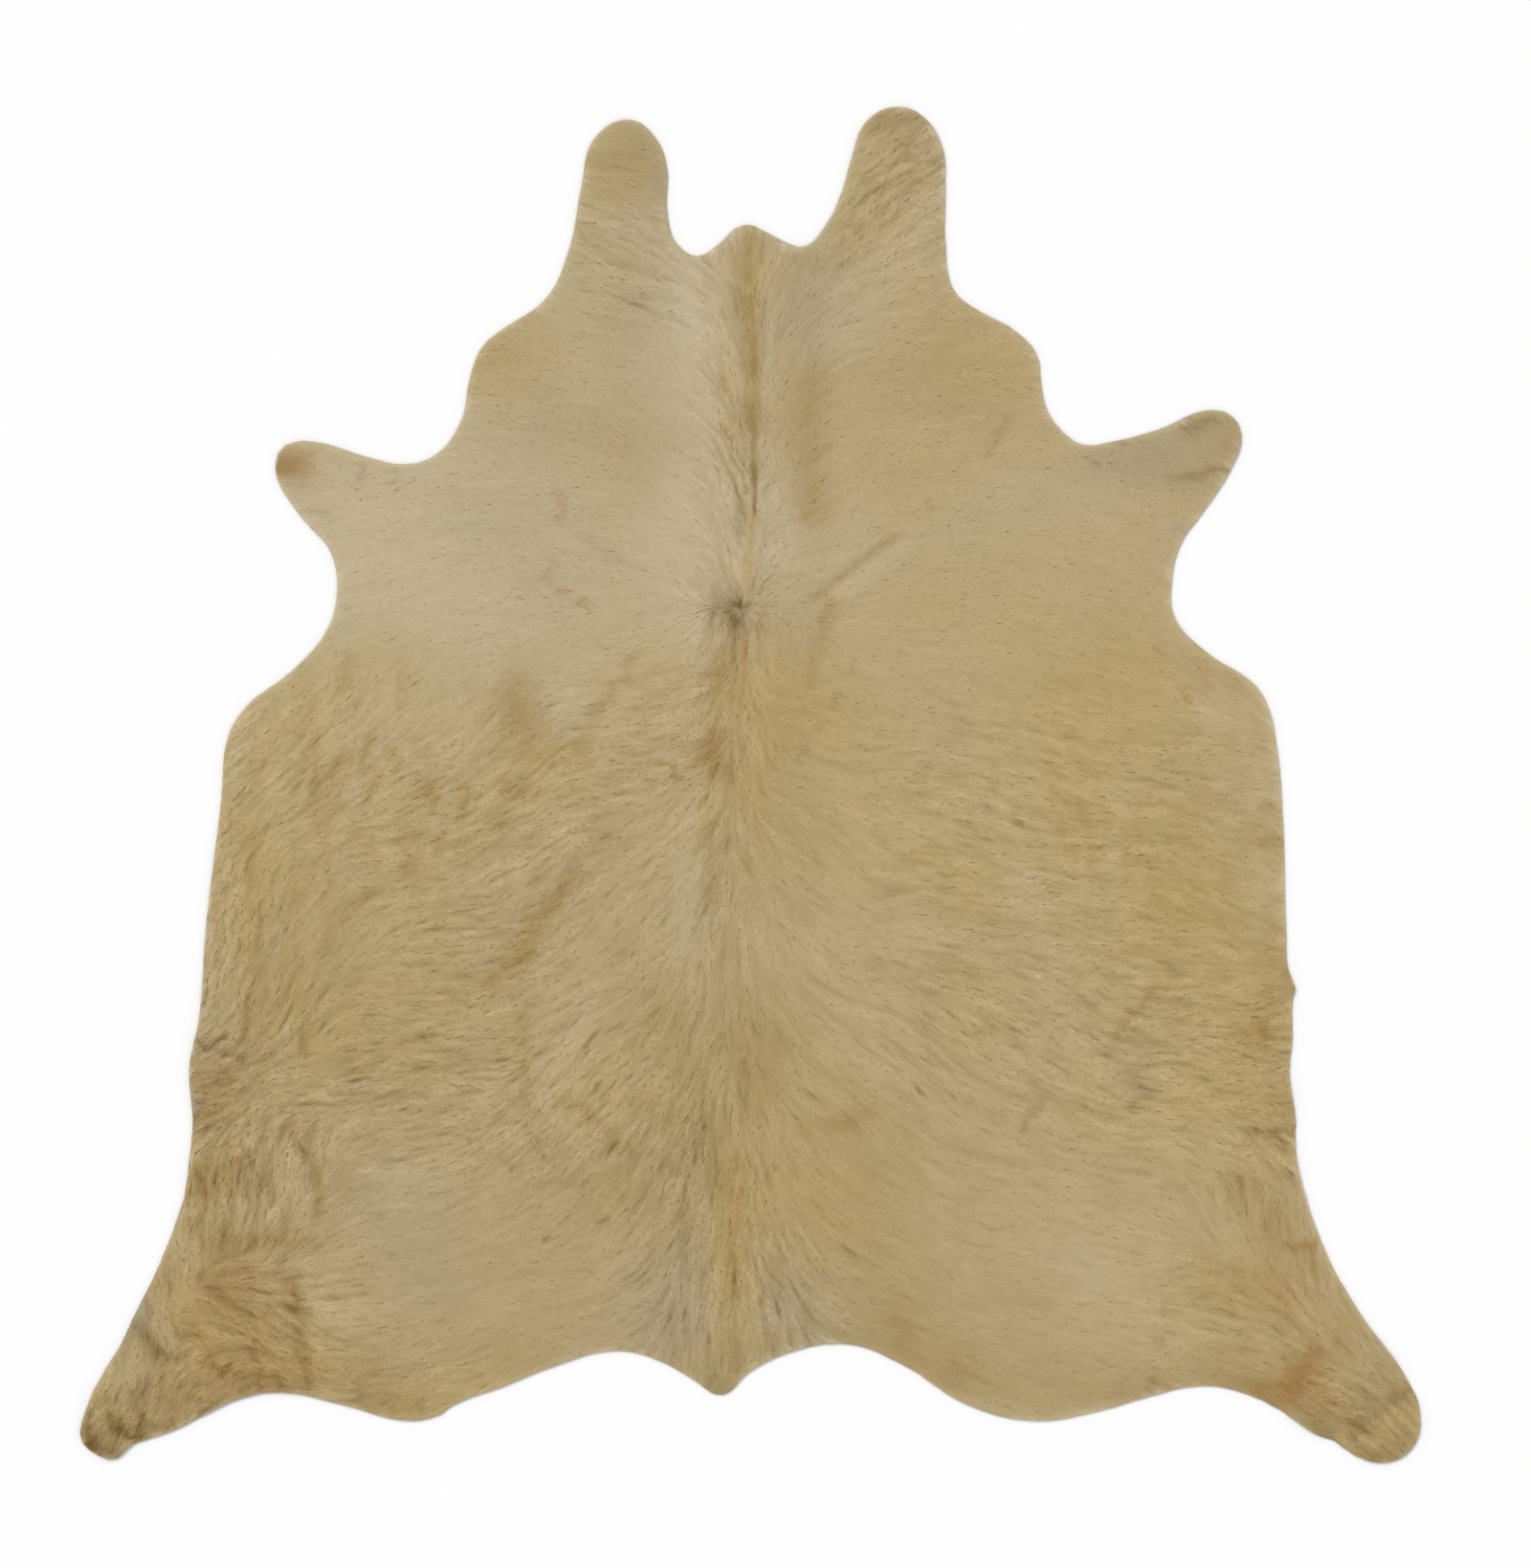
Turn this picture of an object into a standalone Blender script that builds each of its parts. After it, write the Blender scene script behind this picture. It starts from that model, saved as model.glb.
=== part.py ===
"""A hair-on cowhide rug, lying flat with its hair side up.

The hide is one tanned sheet: the body, the two neck flaps, the forelegs, the hind legs and the
tail root are cut in one piece. X runs across the hide, Y along the spine towards the neck and
Z up. The origin is on the floor, under the middle of the hide's box.
"""
import math
from collections import namedtuple

import bmesh
import bpy
import numpy as np
from mathutils import Vector, geometry, kdtree

# Driving dimensions, in metres
HIDE_WIDTH = 2.100
HIDE_LENGTH = 2.125
LEATHER_THICKNESS = 0.0025
COAT_THICKNESS = 0.0025

# The coat thins towards the cut edge over this distance
EDGE_ROLL = 0.030

# A lift of the sheet smaller than this presses flat on the floor
FLOOR_CONTACT = 0.0006

# Mesh spacings: along the cut edge, over the sheet and along a fold
EDGE_STEP = 0.016
SHEET_STEP = 0.040
FOLD_STEP = 0.032
CURVE_RESOLUTION = 8

# The least room around a mesh point, as a share of the spacing it belongs to
LATTICE_ROOM = 0.55
FOLD_ROOM = 0.50

# Points nearer than this are one point
CLOSE = 1e-6

# Cream hair with a dull natural sheen
COAT_COLOUR = (0.434, 0.337, 0.178, 1.0)
COAT_ROUGHNESS = 0.75

Mark = namedtuple("Mark", "across along")

# Landmarks of the cut edge, region by region, clockwise as seen from above.
# Each row is (across, along) in metres from the middle of the hide.
OUTLINE = {
    "nape": (
        (-0.010, 0.875), (0.030, 0.860), (0.060, 0.845), (0.085, 0.840),
    ),
    "right neck flap": (
        (0.115, 0.870), (0.140, 0.920), (0.155, 0.970), (0.180, 1.035), (0.230, 1.060),
        (0.270, 1.045), (0.300, 1.000), (0.305, 0.930), (0.305, 0.850),
    ),
    "right cheek": (
        (0.320, 0.770), (0.350, 0.745), (0.420, 0.705), (0.450, 0.670), (0.455, 0.630),
        (0.465, 0.585), (0.490, 0.550),
    ),
    "right foreleg": (
        (0.520, 0.530), (0.565, 0.535), (0.640, 0.555), (0.720, 0.585), (0.755, 0.575),
        (0.770, 0.545), (0.755, 0.495), (0.710, 0.425), (0.675, 0.375), (0.660, 0.310),
        (0.665, 0.260), (0.715, 0.205), (0.790, 0.155),
    ),
    "right flank": (
        (0.810, 0.125), (0.825, 0.060), (0.835, -0.060), (0.840, -0.230), (0.845, -0.300),
        (0.855, -0.320), (0.850, -0.340), (0.850, -0.400), (0.845, -0.455), (0.855, -0.530),
        (0.855, -0.580), (0.870, -0.645), (0.905, -0.740), (0.955, -0.830),
    ),
    "right hind leg": (
        (1.030, -0.935), (1.050, -0.985), (1.040, -1.040), (1.000, -1.065), (0.940, -1.050),
        (0.915, -1.030), (0.895, -1.025), (0.825, -0.980), (0.770, -0.955), (0.710, -0.945),
    ),
    "rump and tail root": (
        (0.615, -0.965), (0.545, -0.985), (0.445, -1.000), (0.340, -0.975), (0.235, -0.910),
        (0.155, -0.880), (0.070, -0.890), (-0.005, -0.925), (-0.045, -0.960), (-0.090, -0.935),
        (-0.145, -0.905), (-0.210, -0.890), (-0.310, -0.915), (-0.385, -0.945), (-0.465, -0.975),
        (-0.485, -0.990), (-0.535, -1.000), (-0.640, -0.975),
    ),
    "left hind leg": (
        (-0.740, -0.955), (-0.800, -0.965), (-0.855, -0.990), (-0.905, -1.015),
        (-0.950, -1.030), (-0.975, -1.040), (-0.995, -1.060), (-1.030, -1.050),
        (-1.050, -1.030), (-1.045, -0.990), (-1.010, -0.915), (-0.985, -0.875),
    ),
    "left flank": (
        (-0.970, -0.840), (-0.935, -0.770), (-0.910, -0.710), (-0.890, -0.655),
        (-0.880, -0.590), (-0.875, -0.530), (-0.880, -0.445), (-0.865, -0.370),
        (-0.855, -0.235), (-0.830, -0.025), (-0.820, 0.070), (-0.795, 0.115),
    ),
    "left foreleg": (
        (-0.715, 0.180), (-0.670, 0.230), (-0.650, 0.285), (-0.660, 0.365), (-0.690, 0.400),
        (-0.715, 0.430), (-0.745, 0.490), (-0.735, 0.525), (-0.715, 0.535), (-0.680, 0.535),
        (-0.595, 0.510), (-0.545, 0.500),
    ),
    "left cheek": (
        (-0.500, 0.510), (-0.455, 0.565), (-0.440, 0.635), (-0.420, 0.685), (-0.390, 0.710),
        (-0.320, 0.760), (-0.285, 0.835),
    ),
    "left neck flap": (
        (-0.265, 0.935), (-0.245, 1.010), (-0.190, 1.040), (-0.150, 1.015), (-0.130, 0.965),
        (-0.130, 0.895), (-0.115, 0.845), (-0.085, 0.825), (-0.055, 0.840),
    ),
}

Fold = namedtuple("Fold", "place start end half_width rise")

# Where the whole sheet stands off the floor in soft ridges: the curled shanks, the wavy belly
# edges and the long ripples of the flanks
SHEET_LIFTS = (
    Fold("left hind shank, main ridge", (-0.990, -0.975), (-0.905, -0.830), 0.032, 0.0105),
    Fold("left hind shank, second ridge", (-0.850, -0.930), (-0.860, -0.800), 0.030, 0.0070),
    Fold("left hind shank, inner ridge", (-0.735, -0.930), (-0.750, -0.760), 0.030, 0.0060),
    Fold("left hind shank, tip", (-1.025, -1.030), (-1.000, -1.035), 0.024, 0.0070),
    Fold("right hind shank, tip", (0.985, -1.035), (1.035, -1.000), 0.030, 0.0080),
    Fold("right hind shank, above the crease", (0.880, -0.985), (0.985, -0.905), 0.035, 0.0065),
    Fold("right belly edge, upper wave", (0.835, -0.310), (0.790, -0.330), 0.030, 0.0060),
    Fold("right belly edge, middle wave", (0.840, -0.490), (0.780, -0.480), 0.032, 0.0065),
    Fold("right belly edge, lower wave", (0.845, -0.600), (0.790, -0.605), 0.032, 0.0055),
    Fold("left belly edge, lump", (-0.870, -0.385), (-0.865, -0.485), 0.028, 0.0065),
    Fold("left belly, lower wave", (-0.840, -0.600), (-0.720, -0.570), 0.040, 0.0050),
    Fold("left flank, outer ripple", (-0.735, 0.090), (-0.770, -0.420), 0.040, 0.0045),
    Fold("left flank, second ripple", (-0.640, 0.110), (-0.665, -0.330), 0.036, 0.0040),
    Fold("left flank, third ripple", (-0.530, 0.040), (-0.560, -0.310), 0.036, 0.0035),
    Fold("left flank, slanting ripple", (-0.240, -0.050), (-0.420, -0.240), 0.038, 0.0035),
    Fold("right flank, outer ripple", (0.745, 0.080), (0.735, -0.260), 0.040, 0.0040),
    Fold("right flank, second ripple", (0.635, 0.100), (0.650, -0.200), 0.036, 0.0035),
    Fold("right flank, third ripple", (0.510, 0.080), (0.545, -0.150), 0.036, 0.0030),
    Fold("left foreleg, tip", (-0.715, 0.500), (-0.680, 0.480), 0.030, 0.0050),
    Fold("right foreleg, tip", (0.745, 0.545), (0.700, 0.515), 0.032, 0.0060),
    Fold("left neck flap, tip", (-0.195, 1.010), (-0.200, 0.930), 0.034, 0.0050),
    Fold("right neck flap, tip", (0.235, 1.025), (0.220, 0.940), 0.036, 0.0055),
)

# Troughs and ridges of the hair side alone: the parting along the spine, the wrinkles at the
# withers and armpits, and the creases of the legs
COAT_CREASES = (
    Fold("spine, neck parting", (0.000, 0.850), (-0.010, 0.300), 0.012, -0.0012),
    Fold("spine, back ridge", (-0.015, 0.240), (-0.030, -0.900), 0.030, 0.0010),
    Fold("whorl", (-0.020, 0.275), (-0.015, 0.265), 0.016, -0.0012),
    Fold("right withers, slanting crease", (0.105, 0.290), (0.235, 0.385), 0.014, -0.0012),
    Fold("right withers, slanting ridge", (0.125, 0.270), (0.255, 0.365), 0.018, 0.0014),
    Fold("right withers, standing crease", (0.120, 0.265), (0.100, 0.150), 0.014, -0.0011),
    Fold("left withers, slanting crease", (-0.290, 0.450), (-0.200, 0.370), 0.016, -0.0010),
    Fold("left back, slanting crease", (-0.265, -0.130), (-0.400, -0.290), 0.020, -0.0014),
    Fold("left back, hooked crease", (-0.350, 0.110), (-0.300, 0.045), 0.022, -0.0012),
    Fold("back, level line", (-0.280, 0.030), (0.175, 0.025), 0.014, -0.0006),
    Fold("left belly, level crease", (-0.815, -0.480), (-0.485, -0.495), 0.016, -0.0012),
    Fold("left loin, standing crease", (-0.360, -0.375), (-0.325, -0.555), 0.018, -0.0012),
    Fold("right loin, arched crease", (0.355, -0.405), (0.385, -0.495), 0.018, -0.0010),
    Fold("right belly edge, crease", (0.775, -0.545), (0.850, -0.545), 0.013, -0.0016),
    Fold("right hind shank, crease", (0.910, -1.025), (1.040, -0.945), 0.013, -0.0018),
    Fold("left hind shank, outer crease", (-0.780, -0.765), (-0.765, -0.970), 0.014, -0.0016),
    Fold("left hind shank, inner crease", (-0.705, -0.765), (-0.685, -0.940), 0.014, -0.0015),
)


def outline_marks():
    """Every landmark of the cut edge, in order."""
    return [Mark(*row) for rows in OUTLINE.values() for row in rows]


def smooth_edge(marks):
    """The closed Bezier curve through the landmarks, as a chain of points."""
    curve = bpy.data.curves.new("cut_edge", "CURVE")
    curve.dimensions = "2D"
    curve.fill_mode = "NONE"
    curve.resolution_u = CURVE_RESOLUTION
    spline = curve.splines.new("BEZIER")
    spline.use_cyclic_u = True
    spline.bezier_points.add(len(marks) - 1)
    for point, mark in zip(spline.bezier_points, marks):
        point.co = (mark.across, mark.along, 0.0)
        point.handle_left_type = point.handle_right_type = "AUTO"
    holder = bpy.data.objects.new("cut_edge", curve)
    mesh = bpy.data.meshes.new_from_object(holder)
    chain = np.array([vertex.co[:2] for vertex in mesh.vertices])
    bpy.data.meshes.remove(mesh)
    bpy.data.objects.remove(holder)
    bpy.data.curves.remove(curve)
    return chain


def even_points(chain, step):
    """Points at an even spacing around a closed chain."""
    closed = np.vstack([chain, chain[:1]])
    lengths = np.hypot(*np.diff(closed, axis=0).T)
    travel = np.concatenate([[0.0], np.cumsum(lengths)])
    count = round(travel[-1] / step)
    at = np.arange(count) * travel[-1] / count
    return np.column_stack([np.interp(at, travel, closed[:, axis]) for axis in (0, 1)])


def cut_edge():
    """The cut edge at the hide's real width and length, centred on the origin."""
    edge = even_points(smooth_edge(outline_marks()), EDGE_STEP)
    low, high = edge.min(axis=0), edge.max(axis=0)
    return (edge - (low + high) / 2) * (HIDE_WIDTH, HIDE_LENGTH) / (high - low)


def inside(points, edge):
    """Which points lie inside the closed edge, by counting crossings."""
    x, y = points[:, :1], points[:, 1:]
    x1, y1 = edge.T
    x2, y2 = np.roll(edge, -1, axis=0).T
    spans = (y1 > y) != (y2 > y)
    rise = np.where(y2 == y1, 1.0, y2 - y1)
    crossing = x1 + (y - y1) * (x2 - x1) / rise
    return (spans & (x < crossing)).sum(axis=1) % 2 == 1


def fold_height(points, fold):
    """The soft ridge or trough that one fold adds at each point."""
    start, end = np.array(fold.start), np.array(fold.end)
    run = end - start
    along = np.clip((points - start) @ run / (run @ run), 0.0, 1.0)
    distance = np.hypot(*(points - start - along[:, None] * run).T)
    return fold.rise * np.exp(-((distance / fold.half_width) ** 2))


def sheet_lift(points):
    """How high the underside stands off the floor."""
    height = sum(fold_height(points, fold) for fold in SHEET_LIFTS)
    return np.maximum(height - FLOOR_CONTACT, 0.0)


def hair_side_height(points, edge_distance):
    """The height of the lying coat above the floor."""
    fullness = np.sin(np.clip(edge_distance / EDGE_ROLL, 0.0, 1.0) * math.pi / 2)
    creases = sum(fold_height(points, fold) for fold in COAT_CREASES)
    coat = (COAT_THICKNESS + creases) * fullness
    return sheet_lift(points) + LEATHER_THICKNESS + coat


def fold_points(folds):
    """Points along each fold's crest and along both of its feet, so the mesh bends there."""
    rows = []
    for fold in folds:
        start, end = Vector(fold.start), Vector(fold.end)
        side = (end - start).orthogonal().normalized() * fold.half_width
        count = max(1, round((end - start).length / FOLD_STEP))
        for offset in (Vector((0.0, 0.0)), side, -side):
            rows += [start.lerp(end, i / count) + offset for i in range(count + 1)]
    return np.array(rows)


def lattice_points(step):
    """A triangular lattice over the hide's box."""
    row_step = step * math.sqrt(3) / 2
    rows = int(HIDE_LENGTH / row_step) + 1
    columns = int(HIDE_WIDTH / step) + 2
    return np.array([
        ((column + row % 2 / 2) * step - HIDE_WIDTH / 2, row * row_step - HIDE_LENGTH / 2)
        for row in range(rows)
        for column in range(columns)
    ])


def distance_tree(points):
    """A search tree over flat points."""
    tree = kdtree.KDTree(len(points))
    for index, point in enumerate(points):
        tree.insert((*point, 0.0), index)
    tree.balance()
    return tree


def sheet_points(edge):
    """The sheet's mesh points: the edge first, then the folds, then a lattice between them."""
    folds = fold_points(SHEET_LIFTS + COAT_CREASES)
    lattice = lattice_points(SHEET_STEP)
    taken = [tuple(point) for point in edge]
    for points, room in ((folds, FOLD_STEP * FOLD_ROOM), (lattice, SHEET_STEP * LATTICE_ROOM)):
        fixed = distance_tree(taken)
        fresh = []
        for point in points[inside(points, edge)]:
            crowded = fresh and np.hypot(*(np.array(fresh) - point).T).min() < room
            if not crowded and fixed.find((*point, 0.0))[2] >= room:
                fresh.append(tuple(point))
        taken += fresh
    return np.array(taken)


def edge_distance(points, edge):
    """The distance from each point to the cut edge."""
    tree = distance_tree(edge)
    return np.array([tree.find((*point, 0.0))[2] for point in points])


def flat_sheet(edge):
    """The hide's outline filled with triangles, lying at floor height."""
    count = len(edge)
    loop = [(i, (i + 1) % count) for i in range(count)]
    points = [Vector(point) for point in sheet_points(edge)]
    places, _, faces, _, _, _ = geometry.delaunay_2d_cdt(points, loop, [], 1, CLOSE)
    sheet = bmesh.new()
    vertices = [sheet.verts.new((*place, 0.0)) for place in places]
    for face in faces:
        sheet.faces.new([vertices[corner] for corner in face])
    return sheet


def coat_material():
    """Cream hair-on hide."""
    material = bpy.data.materials.new("hair_coat")
    material.use_nodes = True
    shader = material.node_tree.nodes["Principled BSDF"]
    shader.inputs["Base Color"].default_value = COAT_COLOUR
    shader.inputs["Roughness"].default_value = COAT_ROUGHNESS
    shader.inputs["Metallic"].default_value = 0.0
    return material


def raise_to(vertices, heights):
    """Set each vertex's height above the floor."""
    for vertex, height in zip(vertices, heights):
        vertex.co.z = height


def cowhide():
    """The hide: the flesh side on the floor, extruded up to the lying coat."""
    edge = cut_edge()
    sheet = flat_sheet(edge)
    flesh_side = sheet.verts[:]
    points = np.array([vertex.co[:2] for vertex in flesh_side])
    grown = bmesh.ops.extrude_face_region(sheet, geom=sheet.faces[:], use_keep_orig=True)
    hair_side = [item for item in grown["geom"] if isinstance(item, bmesh.types.BMVert)]
    hair_points = np.array([vertex.co[:2] for vertex in hair_side])
    raise_to(flesh_side, sheet_lift(points))
    raise_to(hair_side, hair_side_height(hair_points, edge_distance(hair_points, edge)))
    bmesh.ops.triangulate(sheet, faces=sheet.faces[:])
    bmesh.ops.recalc_face_normals(sheet, faces=sheet.faces[:])
    data = bpy.data.meshes.new("cowhide")
    sheet.to_mesh(data)
    sheet.free()
    data.materials.append(coat_material())
    data.shade_smooth()
    hide = bpy.data.objects.new("cowhide", data)
    bpy.context.scene.collection.objects.link(hide)


def clear_scene():
    """Remove whatever the scene holds."""
    for item in list(bpy.data.objects):
        bpy.data.objects.remove(item)


clear_scene()
cowhide()
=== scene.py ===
"""A cream cowhide rug lying flat, hair side up: its leather sheet, its coat and the studio."""
import math
from collections import namedtuple

import bmesh
import bpy
import numpy as np
from bpy.props import FloatProperty, FloatVectorProperty, IntProperty, PointerProperty
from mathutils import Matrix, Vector
from mathutils.bvhtree import BVHTree
from mathutils.kdtree import KDTree


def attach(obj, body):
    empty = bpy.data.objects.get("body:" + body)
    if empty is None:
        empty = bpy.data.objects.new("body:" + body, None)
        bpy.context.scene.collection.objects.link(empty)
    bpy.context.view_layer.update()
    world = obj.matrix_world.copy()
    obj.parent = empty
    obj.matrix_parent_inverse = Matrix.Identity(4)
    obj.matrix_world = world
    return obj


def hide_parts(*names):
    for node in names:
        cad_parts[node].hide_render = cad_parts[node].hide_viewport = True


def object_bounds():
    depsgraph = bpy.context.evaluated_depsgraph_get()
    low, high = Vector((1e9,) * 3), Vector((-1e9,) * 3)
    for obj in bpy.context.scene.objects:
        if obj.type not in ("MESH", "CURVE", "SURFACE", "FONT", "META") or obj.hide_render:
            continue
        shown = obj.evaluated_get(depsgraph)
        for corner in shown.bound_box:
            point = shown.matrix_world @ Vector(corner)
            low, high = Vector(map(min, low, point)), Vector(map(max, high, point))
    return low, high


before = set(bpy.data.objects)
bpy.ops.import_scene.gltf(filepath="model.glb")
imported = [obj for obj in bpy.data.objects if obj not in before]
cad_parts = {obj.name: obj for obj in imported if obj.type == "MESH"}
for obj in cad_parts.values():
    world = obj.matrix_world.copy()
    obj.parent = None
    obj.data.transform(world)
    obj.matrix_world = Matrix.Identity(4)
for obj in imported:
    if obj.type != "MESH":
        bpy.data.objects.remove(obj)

bl_info = {
    "name": "Cowhide Rug",
    "version": (1, 0, 0),
    "blender": (4, 5, 0),
    "location": "3D View > Sidebar > Cowhide",
    "description": "Dresses a flat cowhide with leather, a lying coat and studio light",
    "category": "Object",
}

NODE = "cowhide"
BODY = "root"
CAD_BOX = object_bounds()

MM = 0.001

# Spacing of the grid that carries heights, edge distance and hair lay, spacing of the finer
# grid of the combed coat, and the margin of both
FIELD_CELL = 0.008
COAT_CELL = 0.0025
FIELD_MARGIN = 0.040

# The noise repeats after this many cells of its lattice
NOISE_TILE = 512

Lay = namedtuple("Lay", "across along heading")

# How the hair lies: the heading of its tips in degrees, anticlockwise from +X, at chosen places.
# Each row is (across, along) in millimetres and the heading.
HAIR_LAY = [Lay(across * MM, along * MM, heading) for across, along, heading in (
    # Crest of the neck, where the hair runs forward from the whorl
    (10, 860, 90), (12, 700, 90), (12, 550, 89), (12, 420, 91), (-35, 830, 102), (-38, 720, 105),
    (-38, 600, 108), (-38, 480, 106), (-34, 380, 106), (-12, 330, 95), (65, 800, 60), (65, 680, 60),
    (65, 560, 50), (62, 480, 35), (60, 400, 18), (50, 320, 8),
    # Left side of the neck
    (-75, 790, 143), (-85, 690, 142), (-85, 590, 145), (-90, 490, 160), (-90, 380, 170),
    (-135, 840, 150), (-140, 740, 162), (-190, 880, 157), (-230, 900, 162), (-200, 980, 176),
    (-230, 800, 163), (-290, 750, 158), (-200, 640, 172), (-340, 660, 175), (-250, 500, 177),
    # Right side of the neck
    (115, 850, 45), (115, 740, 35), (115, 620, 35), (120, 520, 25), (170, 900, 42), (225, 960, 34),
    (230, 1010, 32), (280, 930, 30), (220, 800, 25), (280, 830, 20), (200, 690, 10), (330, 690, 5),
    (400, 650, 0), (250, 560, 3), (430, 560, 5),
    # Shoulders and forelegs
    (-400, 490, 184), (-300, 350, 181), (-520, 380, 194), (-600, 460, 198), (-690, 490, 204),
    (-560, 290, 200), (-450, 270, 190), (-620, 240, 208), (300, 350, 3), (430, 430, 0),
    (520, 370, -12), (480, 270, -12), (590, 480, -14), (680, 520, -20), (740, 530, -30),
    (640, 330, -38), (630, 230, -25), (730, 180, -35), (790, 130, -38),
    # Back, close to the spine
    (-20, 220, 265), (-34, 130, 255), (-36, 0, 268), (-36, -300, 267), (-36, -600, 269),
    (-34, -900, 270), (14, 200, 280), (14, 60, 276), (16, -100, 290), (18, -300, 287),
    (18, -600, 284), (18, -820, 275), (-85, 160, 192), (-85, 40, 200), (-85, -60, 226),
    (-88, -180, 250), (-88, -400, 254), (-88, -600, 258), (-88, -780, 262), (65, 130, -6),
    (65, 0, -14), (68, -120, -40), (68, -250, -55), (68, -420, -55), (68, -600, -58),
    (68, -780, -62),
    # Left back and loin
    (-140, -130, 216), (-140, -250, 232), (-140, -420, 234), (-140, -560, 235), (-140, -720, 238),
    (-190, -220, 228), (-190, -360, 220), (-240, -300, 210), (-190, -600, 232), (-290, -520, 222),
    (-290, -640, 222), (-350, -560, 222), (-190, -800, 210), (-300, -800, 190), (-400, -690, 206),
    (-210, 100, 184), (-210, -30, 183),
    # Right back and loin
    (115, -200, -34), (120, -340, -30), (115, -500, -42), (115, -640, -42), (170, -260, -20),
    (220, -430, -35), (170, -560, -44), (310, -500, -42), (270, -580, -35), (210, -660, -22),
    (170, -820, -20), (380, -620, -14), (250, -200, -3), (210, 60, 0),
    # Left flank and belly
    (-420, 120, 226), (-370, 60, 216), (-500, 180, 222), (-620, 150, 235), (-700, 120, 238),
    (-780, 60, 226), (-700, 0, 220), (-600, 60, 215), (-780, -60, 225), (-790, -150, 256),
    (-790, -300, 258), (-740, -200, 252), (-690, -180, 232), (-640, -230, 224), (-580, -130, 188),
    (-500, -30, 205), (-400, -100, 210), (-450, -230, 182), (-560, -330, 181), (-730, -360, 240),
    (-860, -390, 215), (-680, -470, 182), (-860, -490, 198), (-450, -440, 184),
    # Left hind leg
    (-850, -640, 266), (-780, -620, 268), (-700, -600, 265), (-650, -680, 215), (-570, -620, 190),
    (-880, -740, 274), (-780, -690, 258), (-920, -830, 290), (-850, -830, 150), (-760, -840, 156),
    (-700, -870, 162), (-960, -900, 262), (-1000, -960, 246), (-930, -980, 240),
    (-1010, -1020, 245), (-830, -930, 215), (-620, -880, 182), (-500, -900, 200), (-640, -780, 184),
    (-560, -740, 184), (-800, -770, 172),
    # Right flank and belly
    (360, 110, -12), (430, 130, -22), (520, 130, -25), (620, 80, -8), (740, 60, -2),
    (480, -20, -20), (600, -100, 4), (720, -170, -25), (790, -180, -20), (470, -170, -10),
    (500, -330, -20), (480, -430, -34), (400, -480, -20), (640, -330, -8), (800, -340, 0),
    (620, -470, 0), (780, -480, -8),
    # Right hind leg
    (600, -600, -5), (740, -580, -20), (820, -570, -35), (740, -650, -75), (800, -660, -88),
    (850, -680, -80), (700, -760, -5), (600, -780, -8), (400, -800, -14), (880, -760, -78),
    (860, -840, -40), (940, -850, -55), (780, -860, -18), (900, -950, -22), (990, -930, -45),
    (1020, -1000, -50), (950, -1010, -30),
)]

# A lay mark's pull falls off with this power of the distance, softened by this radius
LAY_POWER = 4.0
LAY_SOFTNESS = 0.030

Patch = namedtuple("Patch", "across along reach_across reach_along turn strength")


def patches(*rows):
    """Soft oval patches, from rows with their places and reaches in millimetres."""
    return [Patch(*(size * MM for size in row[:4]), *row[4:]) for row in rows]


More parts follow.
